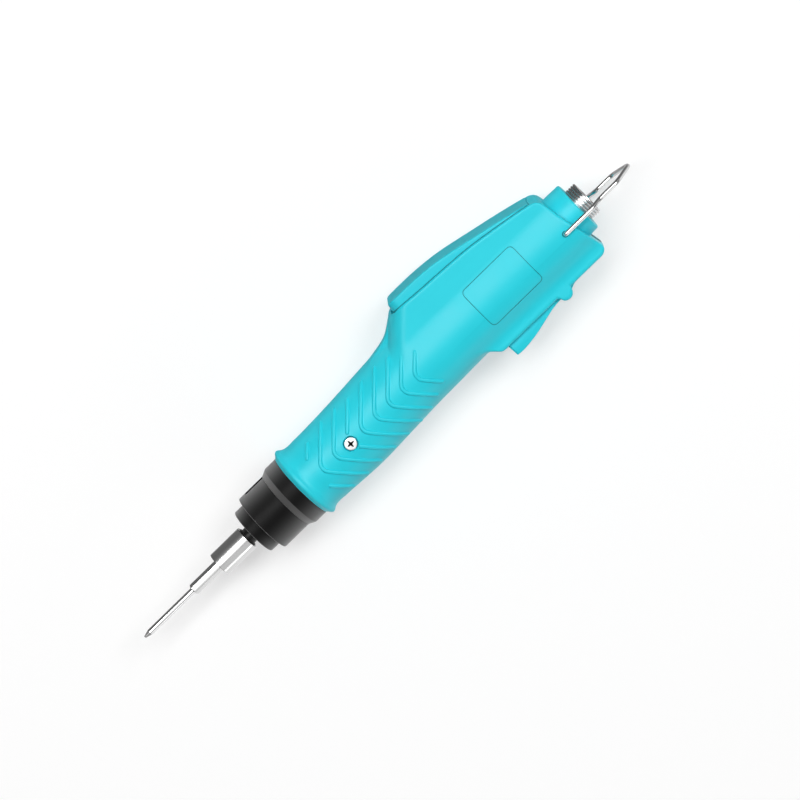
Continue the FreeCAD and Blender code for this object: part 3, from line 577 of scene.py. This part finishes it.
def rocker_shell():
    """Paddle, hub and tail of the rocker in one rounded plate, with the lug that pushes the slider."""
    px, py = rocker_pivot
    top = [111.9, 113.5, 115.5, 120, 124.6, 129, 133.6, 138.1, 141.8, px]
    drop = [-25.55, -25.75, -25.78, -25.4, -24.7, -23.7, -22.55, -21.55, -21.15, -21.5]
    outer_x = np.linspace(112.2, 143.4, 40)
    outer_y = through(outer_x, top, drop)
    bow = np.linspace(1.12 * np.pi, 1.75 * np.pi, 10)
    corners = [(111.4, -19.6, 0.6), (111.75, -25.3, 1.0)]
    corners += [(a, b, 0.3) for a, b in zip(outer_x, outer_y)]
    corners += [(px + 3 * math.cos(a), py + 3 * math.sin(a), 0.1) for a in bow]
    corners += [(152, -20.1, 1.5), (159.4, -19.3, 0.8), (159.4, -16.2, 0.8), (px, -16.8, 2), (118, -19.2, 2)]
    lug = [(px - 1.1, py + 2, 0.1), (px + 1.1, py + 2, 0.1), (px + 1.1, py + 12, 0.7), (px - 1.1, py + 12, 0.7)]
    return joined(plate(corners, 7.0, 0.7, 3), plate(lug, 2.5, 0.3, 4))


# Nose, bit and sleeve

def barrel_shell():
    """Barrel with a pointer window: two round walls on one grid whose lines follow the window, the faces in the
    window left out and its four sides closed."""
    window_half, middle_radius = 2.5, 13.6
    half = math.asin(window_half / middle_radius)
    window = np.linspace(-half, half, 7)
    angle = np.concatenate([window, np.linspace(half, full_turn - half, 90)[1:-1]])
    x_line = np.concatenate([np.linspace(-24.8, -24.3, 6), [-21.1, -10.1, -9.95, -9.9, -9.9, -5.75]])
    front_round = 14.6 + 0.5 * np.sqrt(1 - np.linspace(1, 0, 6) ** 2)
    r_out = np.concatenate([front_round, [15.1, 15.1, 15.1, 15.05, 14.8, 14.8]])
    r_in = np.full(len(x_line), 12.1)
    r_in[:2] = [12.5, 12.25]
    r = np.stack([r_out, r_in])[:, :, None]
    points = xyz(x_line[:, None], r * np.cos(angle), r * np.sin(angle))
    rows, cols = len(x_line), len(angle)
    number = np.arange(2 * rows * cols).reshape(2, rows, cols)
    kept = np.ones((rows - 1, cols), bool)
    front, lines = 6, len(window)
    kept[front, :lines - 1] = False
    wall = grid_faces(rows, cols, False, True).reshape(rows - 1, cols, 4)[kept]
    faces = [wall, wall[:, ::-1] + rows * cols]
    faces += [strip_faces(number[0, k], number[1, k], wrap=True) for k in (0, rows - 1)]
    faces += [strip_faces(number[0, k, :lines], number[1, k, :lines]) for k in (front, front + 1)]
    faces += [strip_faces(number[0, front:front + 2, k], number[1, front:front + 2, k]) for k in (0, lines - 1)]
    return points.reshape(-1, 3), np.concatenate(faces), []


def bit_shell():
    """Screw bit: a round blade and a six-sided shank with slightly crowned flats. The point is a cone out of which
    four flutes are taken, so that the radius is the smaller of the cone and of the flute line, measured along
    each ray."""
    first_flat = math.radians(86)
    crown = 0.75
    flute_end = 5.2
    angle = (first_flat + np.pi / 6 + ring_angles(144))[None]
    away = np.concatenate([np.linspace(0, 6, 40), [10, 20, 30.1, 30.6, 31.0]])[:, None]
    cone = np.interp(away, [0, 0.25, 0.6, 3.4, 30.5, 31.0], [0.45, 0.62, 0.75, 1.5, 1.5, 1.46])
    turn = np.abs((angle + np.pi / 4) % (np.pi / 2) - np.pi / 4)
    wing = np.interp(away, [0, flute_end], [0.36, 1.35])
    flute = wing / (np.abs(np.sin(turn)) + 1e-6)
    along_wing = np.hypot(wing, wing) * 0.9
    blade = np.where(away < flute_end, np.minimum(np.maximum(flute, along_wing), cone), cone)
    shank = np.array([-69.1, -68.6, -60, -40, -34.0])[:, None]
    sector = (angle - first_flat + np.pi / 6) % (np.pi / 3) - np.pi / 6
    chamfer = np.interp(shank, [-69.1, -68.6, -34], [2.2, 2.89, 2.89])
    hexagon = np.minimum(hex_half / np.cos(sector) ** crown, chamfer)
    x = np.concatenate([bit_point + away[:, 0], shank[:, 0]])
    return spun(x, np.concatenate([blade, hexagon]), angle)


def connector_shell():
    """Connector ring on its spigot: a turned outline whose outer wall carries a fine thread, the fourth
    power of a cosine of the distance along it less the turn."""
    thread_radius, thread_pitch, thread_depth = 8.65, 1.35, 0.55
    thread = [(x, thread_radius, 0) for x in np.linspace(178.35, 183.0, 76)]
    corners = [(165, 7.2, 0), (165, 8.25, 0.2), (178.0, 8.25, 0), (178.0, 8.5, 0)] + thread
    corners += [(183.4, 8.35, 0.1), (183.4, 7.35, 0.15), (183.0, 7.2, 0)]
    points, faces, caps = turned(corners, 0.0, 96, 2)
    angle = np.arctan2(points[:, 2], points[:, 1])
    radius = np.hypot(points[:, 1], points[:, 2])
    cut = thread_depth * (0.5 + 0.5 * np.cos(full_turn * (points[:, 0] / thread_pitch) - angle)) ** 4
    cut = cut * eased(178.2, 178.6, points[:, 0]) * eased(183.3, 182.9, points[:, 0]) * (radius > 8.3)
    points[:, 1:] *= (1 - cut / radius)[:, None]
    points[:, 1] += connector_y
    return points, faces, caps


def seat_shell():
    """Round boss of the connector: a turned outline whose foot is laid on the slanted end face."""
    corners = [(169, 8.35, 0), (169, 13.15, 0), (177.9, 13.0, 1.1), (177.9, 8.35, 0.3)]
    points, faces, caps = turned(corners, connector_y, 128, 8)
    foot = end_at_axis + 0.05 - end_slope * points[:, 1]
    points[:, 0] = np.where(points[:, 0] < 170, foot, points[:, 0])
    return points, faces, caps


def bail_shell():
    """Bent wire: corners of the wire's line rounded, then a circle carried along it."""
    near = [(bail_hole[0], 14.6, 0), (bail_hole[0], 19.35, 1.15), (182.4, 19.35, 3.2), (187.6, 14.0, 3.0),
            (198.1, 14.0, 3.0), (206.1, 1.6, 2.2)]
    corners = near + [(x, -z, cut) for x, z, cut in reversed(near)]
    line = round_corners(corners, 10)[9:-9]
    line = line[np.concatenate([[True], np.linalg.norm(np.diff(line, axis=0), axis=1) > 1e-4])]
    line[:, 0] = np.minimum(line[:, 0], 206.25)
    return swept(xyz(line[:, 0], bail_hole[1], line[:, 1]), bail_radius, (0, 1, 0), 24)


def screw_head_shell():
    """Screw head: a flat top on a polar grid with a cross sunk into it, its arms narrowing outward, a rounded
    rim, and the shank below."""
    flat_radius, dome, recess = 2.6, 0.012, 0.9
    inner = np.linspace(0, flat_radius, 48)
    radius = np.concatenate([inner, [2.8, 2.93, 2.98, 2.98, 1.5, 1.5, 0]])[:, None]
    angle = ring_angles(144)[None]
    rim = [screw_top - 0.14, screw_top - 0.28, screw_top - 0.5, 16.0, 16.0, 9.6, 9.6]
    z = np.concatenate([screw_top - dome * inner ** 2, rim])[:, None]
    u = np.abs(radius * np.cos(angle))
    v = np.abs(radius * np.sin(angle))
    narrow = np.minimum(u, v)
    far = np.maximum(u, v)
    arm = 0.62 - 0.2 * far
    z = z - recess * eased(0.0, 0.12, arm - narrow) * eased(1.9, 1.7, far) * (radius < flat_radius)
    return tube_shell(xyz(screw_at + radius * np.cos(angle), radius * np.sin(angle), z), capped=False)


def recess_shade_shell():
    """Painted shade in the cross of the screw head: a cross-shaped outline raised into a thin dark plate."""
    quarter = np.array([(1.85, -0.3), (1.85, 0.3), (0.5, 0.5)])
    turn = np.arange(4)[:, None] * np.pi / 2
    x = quarter[None, :, 0] * np.cos(turn) - quarter[None, :, 1] * np.sin(turn)
    y = quarter[None, :, 0] * np.sin(turn) + quarter[None, :, 1] * np.cos(turn)
    points, faces, caps = plate(xyz(x.ravel(), y.ravel(), 0.05), 0.2, 0.03, 3)
    return points + [screw_at, 0, 17.2], faces, caps


def coil_shell(start, direction, length, radius, wire, turns):
    """Wound spring: a circle carried along a helix about a line, both ends wound flat."""
    t = np.linspace(0, 1, int(turns * 26) + 1)
    rise = eased(0, 1, t) * 0.35 + t * 0.65
    axis = np.asarray(direction, float)
    one = np.array([0.0, 0.0, 1.0])
    two = np.cross(axis, one)
    angle = full_turn * turns * t
    out = np.cos(angle)[:, None] * one + np.sin(angle)[:, None] * two
    path = np.asarray(start, float) + axis * (wire / 2 + (length - wire) * rise)[:, None] + out * radius
    ring = ring_angles(10)[None, :, None]
    return tube_shell(path[:, None] + (out[:, None] * np.cos(ring) + axis * np.sin(ring)) * wire / 2)


def contacts_shell():
    """Five round pins on a circle, each a turned outline with a domed tip, side by side in one mesh."""
    points, faces, caps = turned([(176.5, 0, 0), (176.5, 0.7, 0), (181.6, 0.7, 0.6), (181.6, 0, 0)], 0.0, 20, 5)
    circle_radius = 4.4
    places = [full_turn * (number + 0.5) / 5 for number in range(5)]
    shifts = [[0, connector_y + circle_radius * math.cos(a), circle_radius * math.sin(a)] for a in places]
    return joined(*[(points + shift, faces, caps) for shift in shifts])


# Finishes

mix_share, mix_first, mix_second, mix_colour = 0, 6, 7, 2


def grey(value):
    """Neutral colour."""
    return value, value, value


def feed(tree, node, values):
    """Inputs of a node set to numbers or colours, or linked where another node's output is given."""
    for label, value in dict(values).items():
        if isinstance(value, bpy.types.NodeSocket):
            tree.links.new(value, node.inputs[label])
        else:
            node.inputs[label].default_value = (*value, 1) if isinstance(value, tuple) else value
    return node


def add_node(tree, kind, values=()):
    """New shader node, fed with some inputs."""
    return feed(tree, tree.nodes.new("ShaderNode" + kind), values)


def math_node(tree, operation, first, second=0.5, clamp=False):
    """Arithmetic on numbers given or linked."""
    made = add_node(tree, "Math", {0: first, 1: second})
    made.operation = operation
    made.use_clamp = clamp
    return made.outputs[0]


def remap(tree, given, low, high, to_low, to_high):
    """Linked number carried from one span to another and held at its ends."""
    spans = {"Value": given, "From Min": low, "From Max": high, "To Min": to_low, "To Max": to_high}
    return add_node(tree, "MapRange", spans).outputs["Result"]


def place_parts(tree, kind="Object"):
    """Parts X, Y and Z of the place that is shaded, or of the direction in the surround."""
    return add_node(tree, "SeparateXYZ", {"Vector": add_node(tree, "TexCoord").outputs[kind]}).outputs


def colour_mix(tree, share, first, second):
    """Mix of two colours by a linked share."""
    mix = add_node(tree, "Mix")
    mix.data_type = "RGBA"
    return feed(tree, mix, {mix_share: share, mix_first: first, mix_second: second}).outputs[mix_colour]


def shader_mix(tree, share, first, second):
    """Mix of two shaders by a linked share."""
    return add_node(tree, "MixShader", {0: share, 1: first, 2: second}).outputs[0]


def noise(tree, scale, detail):
    """Noise over the piece at a linked scale."""
    place = add_node(tree, "TexCoord").outputs["Object"]
    return add_node(tree, "TexNoise", {"Vector": place, "Scale": scale, "Detail": detail}).outputs["Fac"]


def new_group(name, inputs, outputs):
    """Empty shader group with named number inputs and outputs."""
    group = bpy.data.node_groups.new(name, "ShaderNodeTree")
    for label, value in inputs:
        socket = group.interface.new_socket(label, in_out="INPUT", socket_type="NodeSocketFloat")
        socket.default_value = value
    for label in outputs:
        group.interface.new_socket(label, in_out="OUTPUT", socket_type="NodeSocketFloat")
    return group, group.nodes.new("NodeGroupInput").outputs, group.nodes.new("NodeGroupOutput")


def moulded_grain():
    """Spark-eroded mould grain: fine noise for height, slow noise for gloss and shade."""
    group, given, out = new_group("moulded_grain", [("Grain Scale", 2600), ("Cloud Scale", 55)], ["Height", "Cloud"])
    feed(group, out, {"Height": noise(group, given["Grain Scale"], 2), "Cloud": noise(group, given["Cloud Scale"], 4)})
    return group


def turning_marks():
    """Tool marks of turned metal: noise drawn out round the axis so that only distance along it counts."""
    group, given, out = new_group("turning_marks", [("Mark Scale", 3500), ("Cloud Scale", 90)], ["Height", "Cloud"])
    marks = add_node(group, "TexNoise")
    marks.noise_dimensions = "1D"
    feed(group, marks, {"W": place_parts(group)["X"], "Scale": given["Mark Scale"], "Detail": 3})
    feed(group, out, {"Height": marks.outputs["Fac"], "Cloud": noise(group, given["Cloud Scale"], 3)})
    return group


def length_band():
    """Mask along the tool: 1 between two places on the axis, with short soft ends."""
    group, given, out = new_group("length_band", [("From", 0.0), ("To", 0.01), ("Soft", 0.00015)], ["Mask"])
    along = place_parts(group)["X"]
    ends = [math_node(group, "DIVIDE", math_node(group, "SUBTRACT", more, less), given["Soft"], clamp=True)
            for more, less in ((along, given["From"]), (given["To"], along))]
    feed(group, out, {"Mask": math_node(group, "MULTIPLY", *ends)})
    return group


grain_group = moulded_grain()
marks_group = turning_marks()
band_group = length_band()


def group_node(tree, group, values):
    """Outputs of a shared group used in a material."""
    made = add_node(tree, "Group")
    made.node_tree = group
    return feed(tree, made, values).outputs


def finish(name, dark, light, rough, metal=0.0, group=grain_group, scale=2600, depth=3e-5, level=0.5, painted_sheen=0.0,
           band=None):
    """Material from one of the shared groups: the slow cloud mixes two near colours and two near gloss levels,
    the fine height is a bump. A band (from, to, colour) lays another colour over a length of the tool, and a
    painted sheen lifts the colour toward white at the edges seen at a slant."""
    material = bpy.data.materials.new(name)
    material.use_nodes = True
    tree = material.node_tree
    pattern = group_node(tree, group, {0: scale})
    colour = colour_mix(tree, pattern["Cloud"], dark, light)
    if band:
        start, end = [row_frame([x, 0, 0])[0] for x in band[:2]]
        mask = group_node(tree, band_group, {"From": start, "To": end})
        colour = colour_mix(tree, mask["Mask"], colour, band[2])
    # Painted sheen: the colour is mixed toward white by how slanted the surface is to the view, in place of a
    # reflection.
    if painted_sheen:
        steep = math_node(tree, "POWER", add_node(tree, "LayerWeight").outputs["Facing"], 1.5)
        colour = colour_mix(tree, math_node(tree, "MULTIPLY", steep, painted_sheen), colour, grey(1))
    bump = add_node(tree, "Bump", {"Strength": 1, "Distance": depth, "Height": pattern["Height"]})
    feed(tree, tree.nodes["Principled BSDF"], {
        "Metallic": metal, "Specular IOR Level": level, "Base Color": colour, "Normal": bump.outputs["Normal"],
        "Roughness": remap(tree, pattern["Cloud"], 0.3, 0.7, *rough)})
    return material


def bare(name, dark, light, rough, group, scale, depth):
    """Bare metal between two colours."""
    return finish(name, dark, light, rough, 1.0, group, scale, depth)


moulding = {"rough": (0.40, 0.48), "depth": 8e-6, "level": 0.42}
turquoise = finish("turquoise_shell", (0.012, 0.59, 0.70), (0.015, 0.65, 0.76), **moulding)
turquoise_lever = finish("turquoise_lever", (0.012, 0.57, 0.68), (0.015, 0.63, 0.74), **moulding)
seam_shadow = finish("seam_shadow", (0.006, 0.17, 0.20), (0.008, 0.22, 0.25), (0.5, 0.6), depth=8e-6, level=0.2)
# Painted shade: near-black teal for the dark inside of the small slot in the end face.
slot_painted_shade = finish("slot_painted_shade", (0.006, 0.05, 0.055), (0.008, 0.07, 0.075), (0.5, 0.6), level=0.2)
# The painted sheen in these blacks lifts them toward white at edges seen at a slant: a painted reflection of the
# bright surround.
blackened = {"dark": grey(0.0006), "light": grey(0.0012), "rough": (0.36, 0.46), "group": marks_group, "scale": 6000,
             "depth": 8e-7, "level": 0.09, "painted_sheen": 0.45}
nose_black = finish("nose_black", **blackened)
# The band paints a highlight: a lighter grey on the turned chamfer of the nut, where it faces the light.
nut_black = finish("nut_black", **blackened, band=(-9.9, -6.75, grey(0.05)))
black_oxide = finish("black_oxide", grey(0.002), grey(0.004), (0.34, 0.44), group=marks_group, scale=6000,
                     depth=1e-6, level=0.2, painted_sheen=0.15)
# Near black for the torque seat, made darker so that the pointer window reads as shaded, and for the painted shade in
# the cross of the screw head.
black_and_painted_shade = finish("black_and_painted_shade", grey(0.0008), grey(0.0015), (0.6, 0.7), level=0.05)
bright_steel = bare("bright_steel", grey(0.66), grey(0.74), (0.17, 0.23), marks_group, 7000, 2e-7)
bit_steel = bare("bit_steel", grey(0.66), grey(0.74), (0.16, 0.22), marks_group, 7000, 1e-7)
wire_steel = bare("wire_steel", grey(0.64), grey(0.74), (0.14, 0.22), grain_group, 1500, 1e-6)
thread_steel = bare("thread_steel", grey(0.55), grey(0.68), (0.18, 0.28), marks_group, 5000, 6e-7)
screw_steel = bare("screw_steel", grey(0.80), grey(0.88), (0.34, 0.44), grain_group, 2200, 1e-6)
pin_steel = bare("pin_steel", (0.5, 0.5, 0.51), (0.62, 0.62, 0.63), (0.2, 0.3), grain_group, 1800, 3e-6)
spring_steel = bare("spring_steel", (0.42, 0.42, 0.43), (0.55, 0.55, 0.56), (0.24, 0.36), grain_group, 2500, 3e-6)
contact_brass = bare("contact_brass", (0.62, 0.42, 0.14), (0.74, 0.52, 0.2), (0.2, 0.3), marks_group, 2500, 2e-6)
cast_metal = bare("cast_metal", (0.42, 0.43, 0.44), (0.55, 0.56, 0.57), (0.4, 0.55), grain_group, 1200, 3e-5)
motor_can = bare("motor_can", (0.30, 0.30, 0.31), (0.40, 0.40, 0.41), (0.3, 0.42), marks_group, 1500, 4e-6)
switch_black = finish("switch_black", (0.012, 0.012, 0.014), (0.022, 0.022, 0.024), (0.45, 0.6))
plunger_white = finish("plunger_white", (0.5, 0.5, 0.46), (0.58, 0.58, 0.54), (0.4, 0.52))
board_green = finish("board_green", (0.012, 0.10, 0.03), (0.02, 0.14, 0.045), (0.3, 0.42), scale=900)
insert_black = finish("insert_black", (0.012, 0.012, 0.013), (0.02, 0.02, 0.021), (0.4, 0.52))

node_finishes = [
    (turquoise, "housing_near housing_far connector_seat"), (turquoise_lever, "start_lever direction_rocker"),
    (nose_black, "torque_barrel torque_adjuster"), (nut_black, "nose_nut"), (black_and_painted_shade, "torque_seat"),
    (black_oxide, "spindle"), (bright_steel, "bit_sleeve"), (bit_steel, "screw_bit"), (wire_steel, "hanger_bail"),
    (thread_steel, "connector_barrel"), (screw_steel, "grip_screw"), (pin_steel, "lever_pin rocker_pin"),
    (spring_steel, "lever_spring clutch_spring sleeve_spring"), (switch_black, "start_switch direction_switch"),
    (plunger_white, "start_plunger direction_slider"), (board_green, "circuit_board"),
    (insert_black, "connector_insert"), (contact_brass, "contact_pins"), (cast_metal, "gear_case"),
    (motor_can, "motor")]
for material, node_names in node_finishes:
    for node_name in node_names.split():
        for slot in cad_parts[node_name].material_slots:
            slot.material = material


# Pieces

plate_corners = [(114.1, -7.5), (144.6, -7.5), (144.6, 13.7), (114.1, 13.7)]
plate_corner_cut = 2.3
plate_outline = evened(round_corners([(*corner, plate_corner_cut) for corner in plate_corners]), 200)
bail_rim = circle(*bail_hole, bail_radius)

make_piece("shell_near", housing_half(True), "housing", turquoise, ["housing_near"])
make_piece("shell_far", housing_half(False), "housing", turquoise, ["housing_far"])
# The dark bands at the plate seam, round the bail holes and in the lever gap, and the dark plate in the end slot, are
# painted shade.
on_the_shell = [
    ("grip_ribs_near", ribs(1), turquoise), ("grip_ribs_far", ribs(-1), turquoise),
    ("name_plate", skin_plate(plate_outline, 0.12), turquoise),
    ("plate_seam", skin_band(plate_outline, -0.1, 0.32), seam_shadow),
    ("bail_hole_near", skin_band(bail_rim, -0.05, 0.42), seam_shadow),
    ("bail_hole_far", skin_band(bail_rim, -0.05, 0.42, side=-1), seam_shadow),
    ("lever_gap_shade_near", lever_gap_shade_shell(1), seam_shadow), ("lever_gap_shade_far", lever_gap_shade_shell(-1), seam_shadow),
    ("end_slot_shade", slot_shade_shell(), slot_painted_shade)]
for name, shell, material in on_the_shell:
    make_piece(name, shell, "housing", material)
make_piece("start_lever_cap", lever_shell(), "start_lever", turquoise_lever, ["start_lever"])
make_piece("rocker_paddle", rocker_shell(), "direction_rocker", turquoise_lever, ["direction_rocker"])
make_piece("nose_barrel", barrel_shell(), "housing", nose_black, ["torque_barrel"])
turned_pieces = [
    ("nose_union_nut", "housing", "nose_black", nut_black, "nose_nut",
     [(-9.8, 14.9, 0), (-9.8, 15.15, 0.1), (-6.7, 16.65, 0.35), (-0.1, 16.65, 0.3), (-0.1, 14.9, 0)]),
    ("torque_ring", "torque_adjuster", "nose_black", nose_black, "torque_adjuster",
     [(-30.7, 4.4, 0.2), (-30.7, 12, 0.7), (-21.4, 12, 0.2), (-21.4, 9.75, 0), (-29.2, 9.75, 0), (-29.2, 4.4, 0)]),
    ("bit_collar_sleeve", "bit_sleeve", "sleeve_steel", bright_steel, "bit_sleeve",
     [(-52.2, 4.15, 0), (-52.2, 6, 0.35), (-34.4, 6, 0.3), (-34.4, 5.2, 0), (-46.6, 5.2, 0), (-46.6, 4.15, 0)]),
    ("drive_spindle", "spindle", "dark_steel", black_oxide, "spindle",
     [(-51.4, 2.9, 0.2), (-51.4, 4.05, 0.3), (-35.6, 4.05, 0), (-35.6, 4.85, 0.1), (-33.9, 4.85, 0.2),
      (-33.9, 4.05, 0), (6.1, 4.05, 0.3), (6.1, 0, 0), (-33.7, 0, 0), (-33.7, 2.9, 0)])]
for name, body, slot, material, node, corners in turned_pieces:
    make_piece(name, turned(corners), body, material, [node])
make_piece("cross_point_bit", bit_shell(), "spindle", bit_steel, ["screw_bit"], 25)
make_piece("connector_boss", seat_shell(), "housing", turquoise, ["connector_seat"])
make_piece("connector_ring", connector_shell(), "housing", thread_steel, ["connector_barrel"], 60)
make_piece("contacts", contacts_shell(), "housing", contact_brass, ["contact_pins"])
make_piece("hanger_wire", bail_shell(), "hanger_bail", wire_steel, ["hanger_bail"])
make_piece("screw_recess_shade", recess_shade_shell(), "housing", black_and_painted_shade)
make_piece("cross_head_screw", screw_head_shell(), "housing", screw_steel, ["grip_screw"])


def add_spring(name, node, coil):
    """Wound spring that replaces a plain one, on a mesh of its own."""
    spring = make_piece(name, coil_shell(*coil), "housing", spring_steel, [node])
    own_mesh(spring)


add_spring("lever_return_spring", "lever_spring", ((129.5, 6.85, 0), (0, 1, 0), 19.1, 2.9, 0.8, 7))
add_spring("torque_spring", "clutch_spring", ((-14.85, 0, 0), (1, 0, 0), 9.15, 8.6, 1.6, 4))
add_spring("sleeve_return_spring", "sleeve_spring", ((-46.55, 0, 0), (1, 0, 0), 10.9, 4.63, 0.6, 7))


# Floor, light and camera

def floor_piece():
    """Pale floor: a square far wider than the view, near white for the camera, with the object's shadow on the
    share of it that is paint. In reflections it is white on the rocker side and dark on the lever side."""
    glow_share = 0.48
    side = np.linspace(-3, 3, 9)
    x, y = np.meshgrid(side, side, indexing="ij")
    points = xyz(x, y, -0.0003).reshape(-1, 3)
    mesh = bpy.data.meshes.new("floor")
    mesh.from_pydata(points.tolist(), [], grid_faces(9, 9)[:, ::-1].tolist())
    floor = add_object("floor", mesh)
    material = bpy.data.materials.new("floor_white")
    material.use_nodes = True
    tree = material.node_tree
    tree.nodes.clear()
    paint = add_node(tree, "BsdfDiffuse", {"Color": grey(0.92)}).outputs[0]
    glow = add_node(tree, "Emission", {"Strength": 1.1}).outputs[0]
    shade = remap(tree, place_parts(tree)["Y"], -0.02, 0.02, 0.98, 0.16)
    mirrored = add_node(tree, "Emission", {"Color": shade}).outputs[0]
    path = add_node(tree, "LightPath").outputs
    seen = shader_mix(tree, math_node(tree, "MULTIPLY", path["Is Camera Ray"], glow_share), paint, glow)
    add_node(tree, "OutputMaterial", {"Surface": shader_mix(tree, path["Is Glossy Ray"], seen, mirrored)})
    mesh.materials.append(material)


def studio_world():
    """Soft surround: even for diffuse light; in reflections white overhead, pale on the rocker side and dark low
    on the lever side, by a ramp over the sideways part of the direction, and dimmer toward both ends."""
    world = bpy.data.worlds.new("studio")
    world.use_nodes = True
    bpy.context.scene.world = world
    tree = world.node_tree
    even = feed(tree, tree.nodes["Background"], {"Color": grey(1), "Strength": 0.20}).outputs[0]
    direction = place_parts(tree, "Generated")
    steps = [(0.0, 0.42), (0.06, 0.32), (0.22, 0.36), (0.32, 0.34), (0.41, 0.24), (0.46, 0.55), (0.50, 1.0),
             (0.64, 1.0), (0.74, 0.40), (0.82, 0.16), (0.92, 0.09), (1.0, 0.07)]
    ramp = add_node(tree, "ValToRGB", {"Fac": remap(tree, direction["Y"], -1, 1, 0, 1)})
    ramp.color_ramp.interpolation = "EASE"
    while len(ramp.color_ramp.elements) < len(steps):
        ramp.color_ramp.elements.new(0.5)
    for element, (at, value) in zip(ramp.color_ramp.elements, steps):
        element.position = at
        element.color = (*grey(value), 1)
    strength = remap(tree, math_node(tree, "ABSOLUTE", direction["X"]), 0.3, 0.75, 2.1, 0.5)
    mirrored = add_node(tree, "Background", {"Color": ramp.outputs["Color"], "Strength": strength}).outputs[0]
    glossy = add_node(tree, "LightPath").outputs["Is Glossy Ray"]
    feed(tree, tree.nodes["World Output"], {"Surface": shader_mix(tree, glossy, even, mirrored)})


def soft_lamp(name, place, long, wide, watts):
    """Soft rectangular lamp that looks at the middle of the tool."""
    lamp = bpy.data.lights.new(name, "AREA")
    lamp.shape = "RECTANGLE"
    lamp.size = long
    lamp.size_y = wide
    lamp.energy = watts
    holder = add_object(name, lamp)
    holder.location = place
    holder.rotation_euler = (Vector((0, 0, 0.02)) - Vector(place)).to_track_quat("-Z", "Y").to_euler()


def photo_camera():
    """Camera of the photograph: looks down on the near side with a long lens, turned so that the tool axis climbs
    to the right at a slant."""
    distance, lens, sensor = 2.0, 199.3, 36
    turn = math.radians(44.25)
    back = unit(np.array([0.1, 0.133, 0.986]))
    axis = unit(np.array([1.0, 0, 0]) - back[0] * back)
    side = np.cross(back, axis)
    right = math.cos(turn) * axis - math.sin(turn) * side
    up = math.sin(turn) * axis + math.cos(turn) * side
    place = row_frame([59.1, -3.7, 0]) + distance * back
    data = bpy.data.cameras.new("camera")
    data.lens = lens
    data.sensor_width = sensor
    data.clip_end = 20
    camera = add_object("camera", data)
    camera.matrix_world = Matrix(np.vstack([np.column_stack([right, up, back, place]), [0, 0, 0, 1]]).tolist())
    bpy.context.scene.camera = camera


floor_piece()
studio_world()
soft_lamp("end_lamp", (1.5, 0.2, 1.9), long=1.0, wide=1.0, watts=21.5)
soft_lamp("side_lamp", (-0.1, 0.95, 2.2), long=2.4, wide=0.8, watts=36)
soft_lamp("low_lamp", (0.0, -1.8, 0.55), long=1.5, wide=0.5, watts=3.5)
photo_camera()
bpy.context.scene.view_settings.view_transform = "Standard"
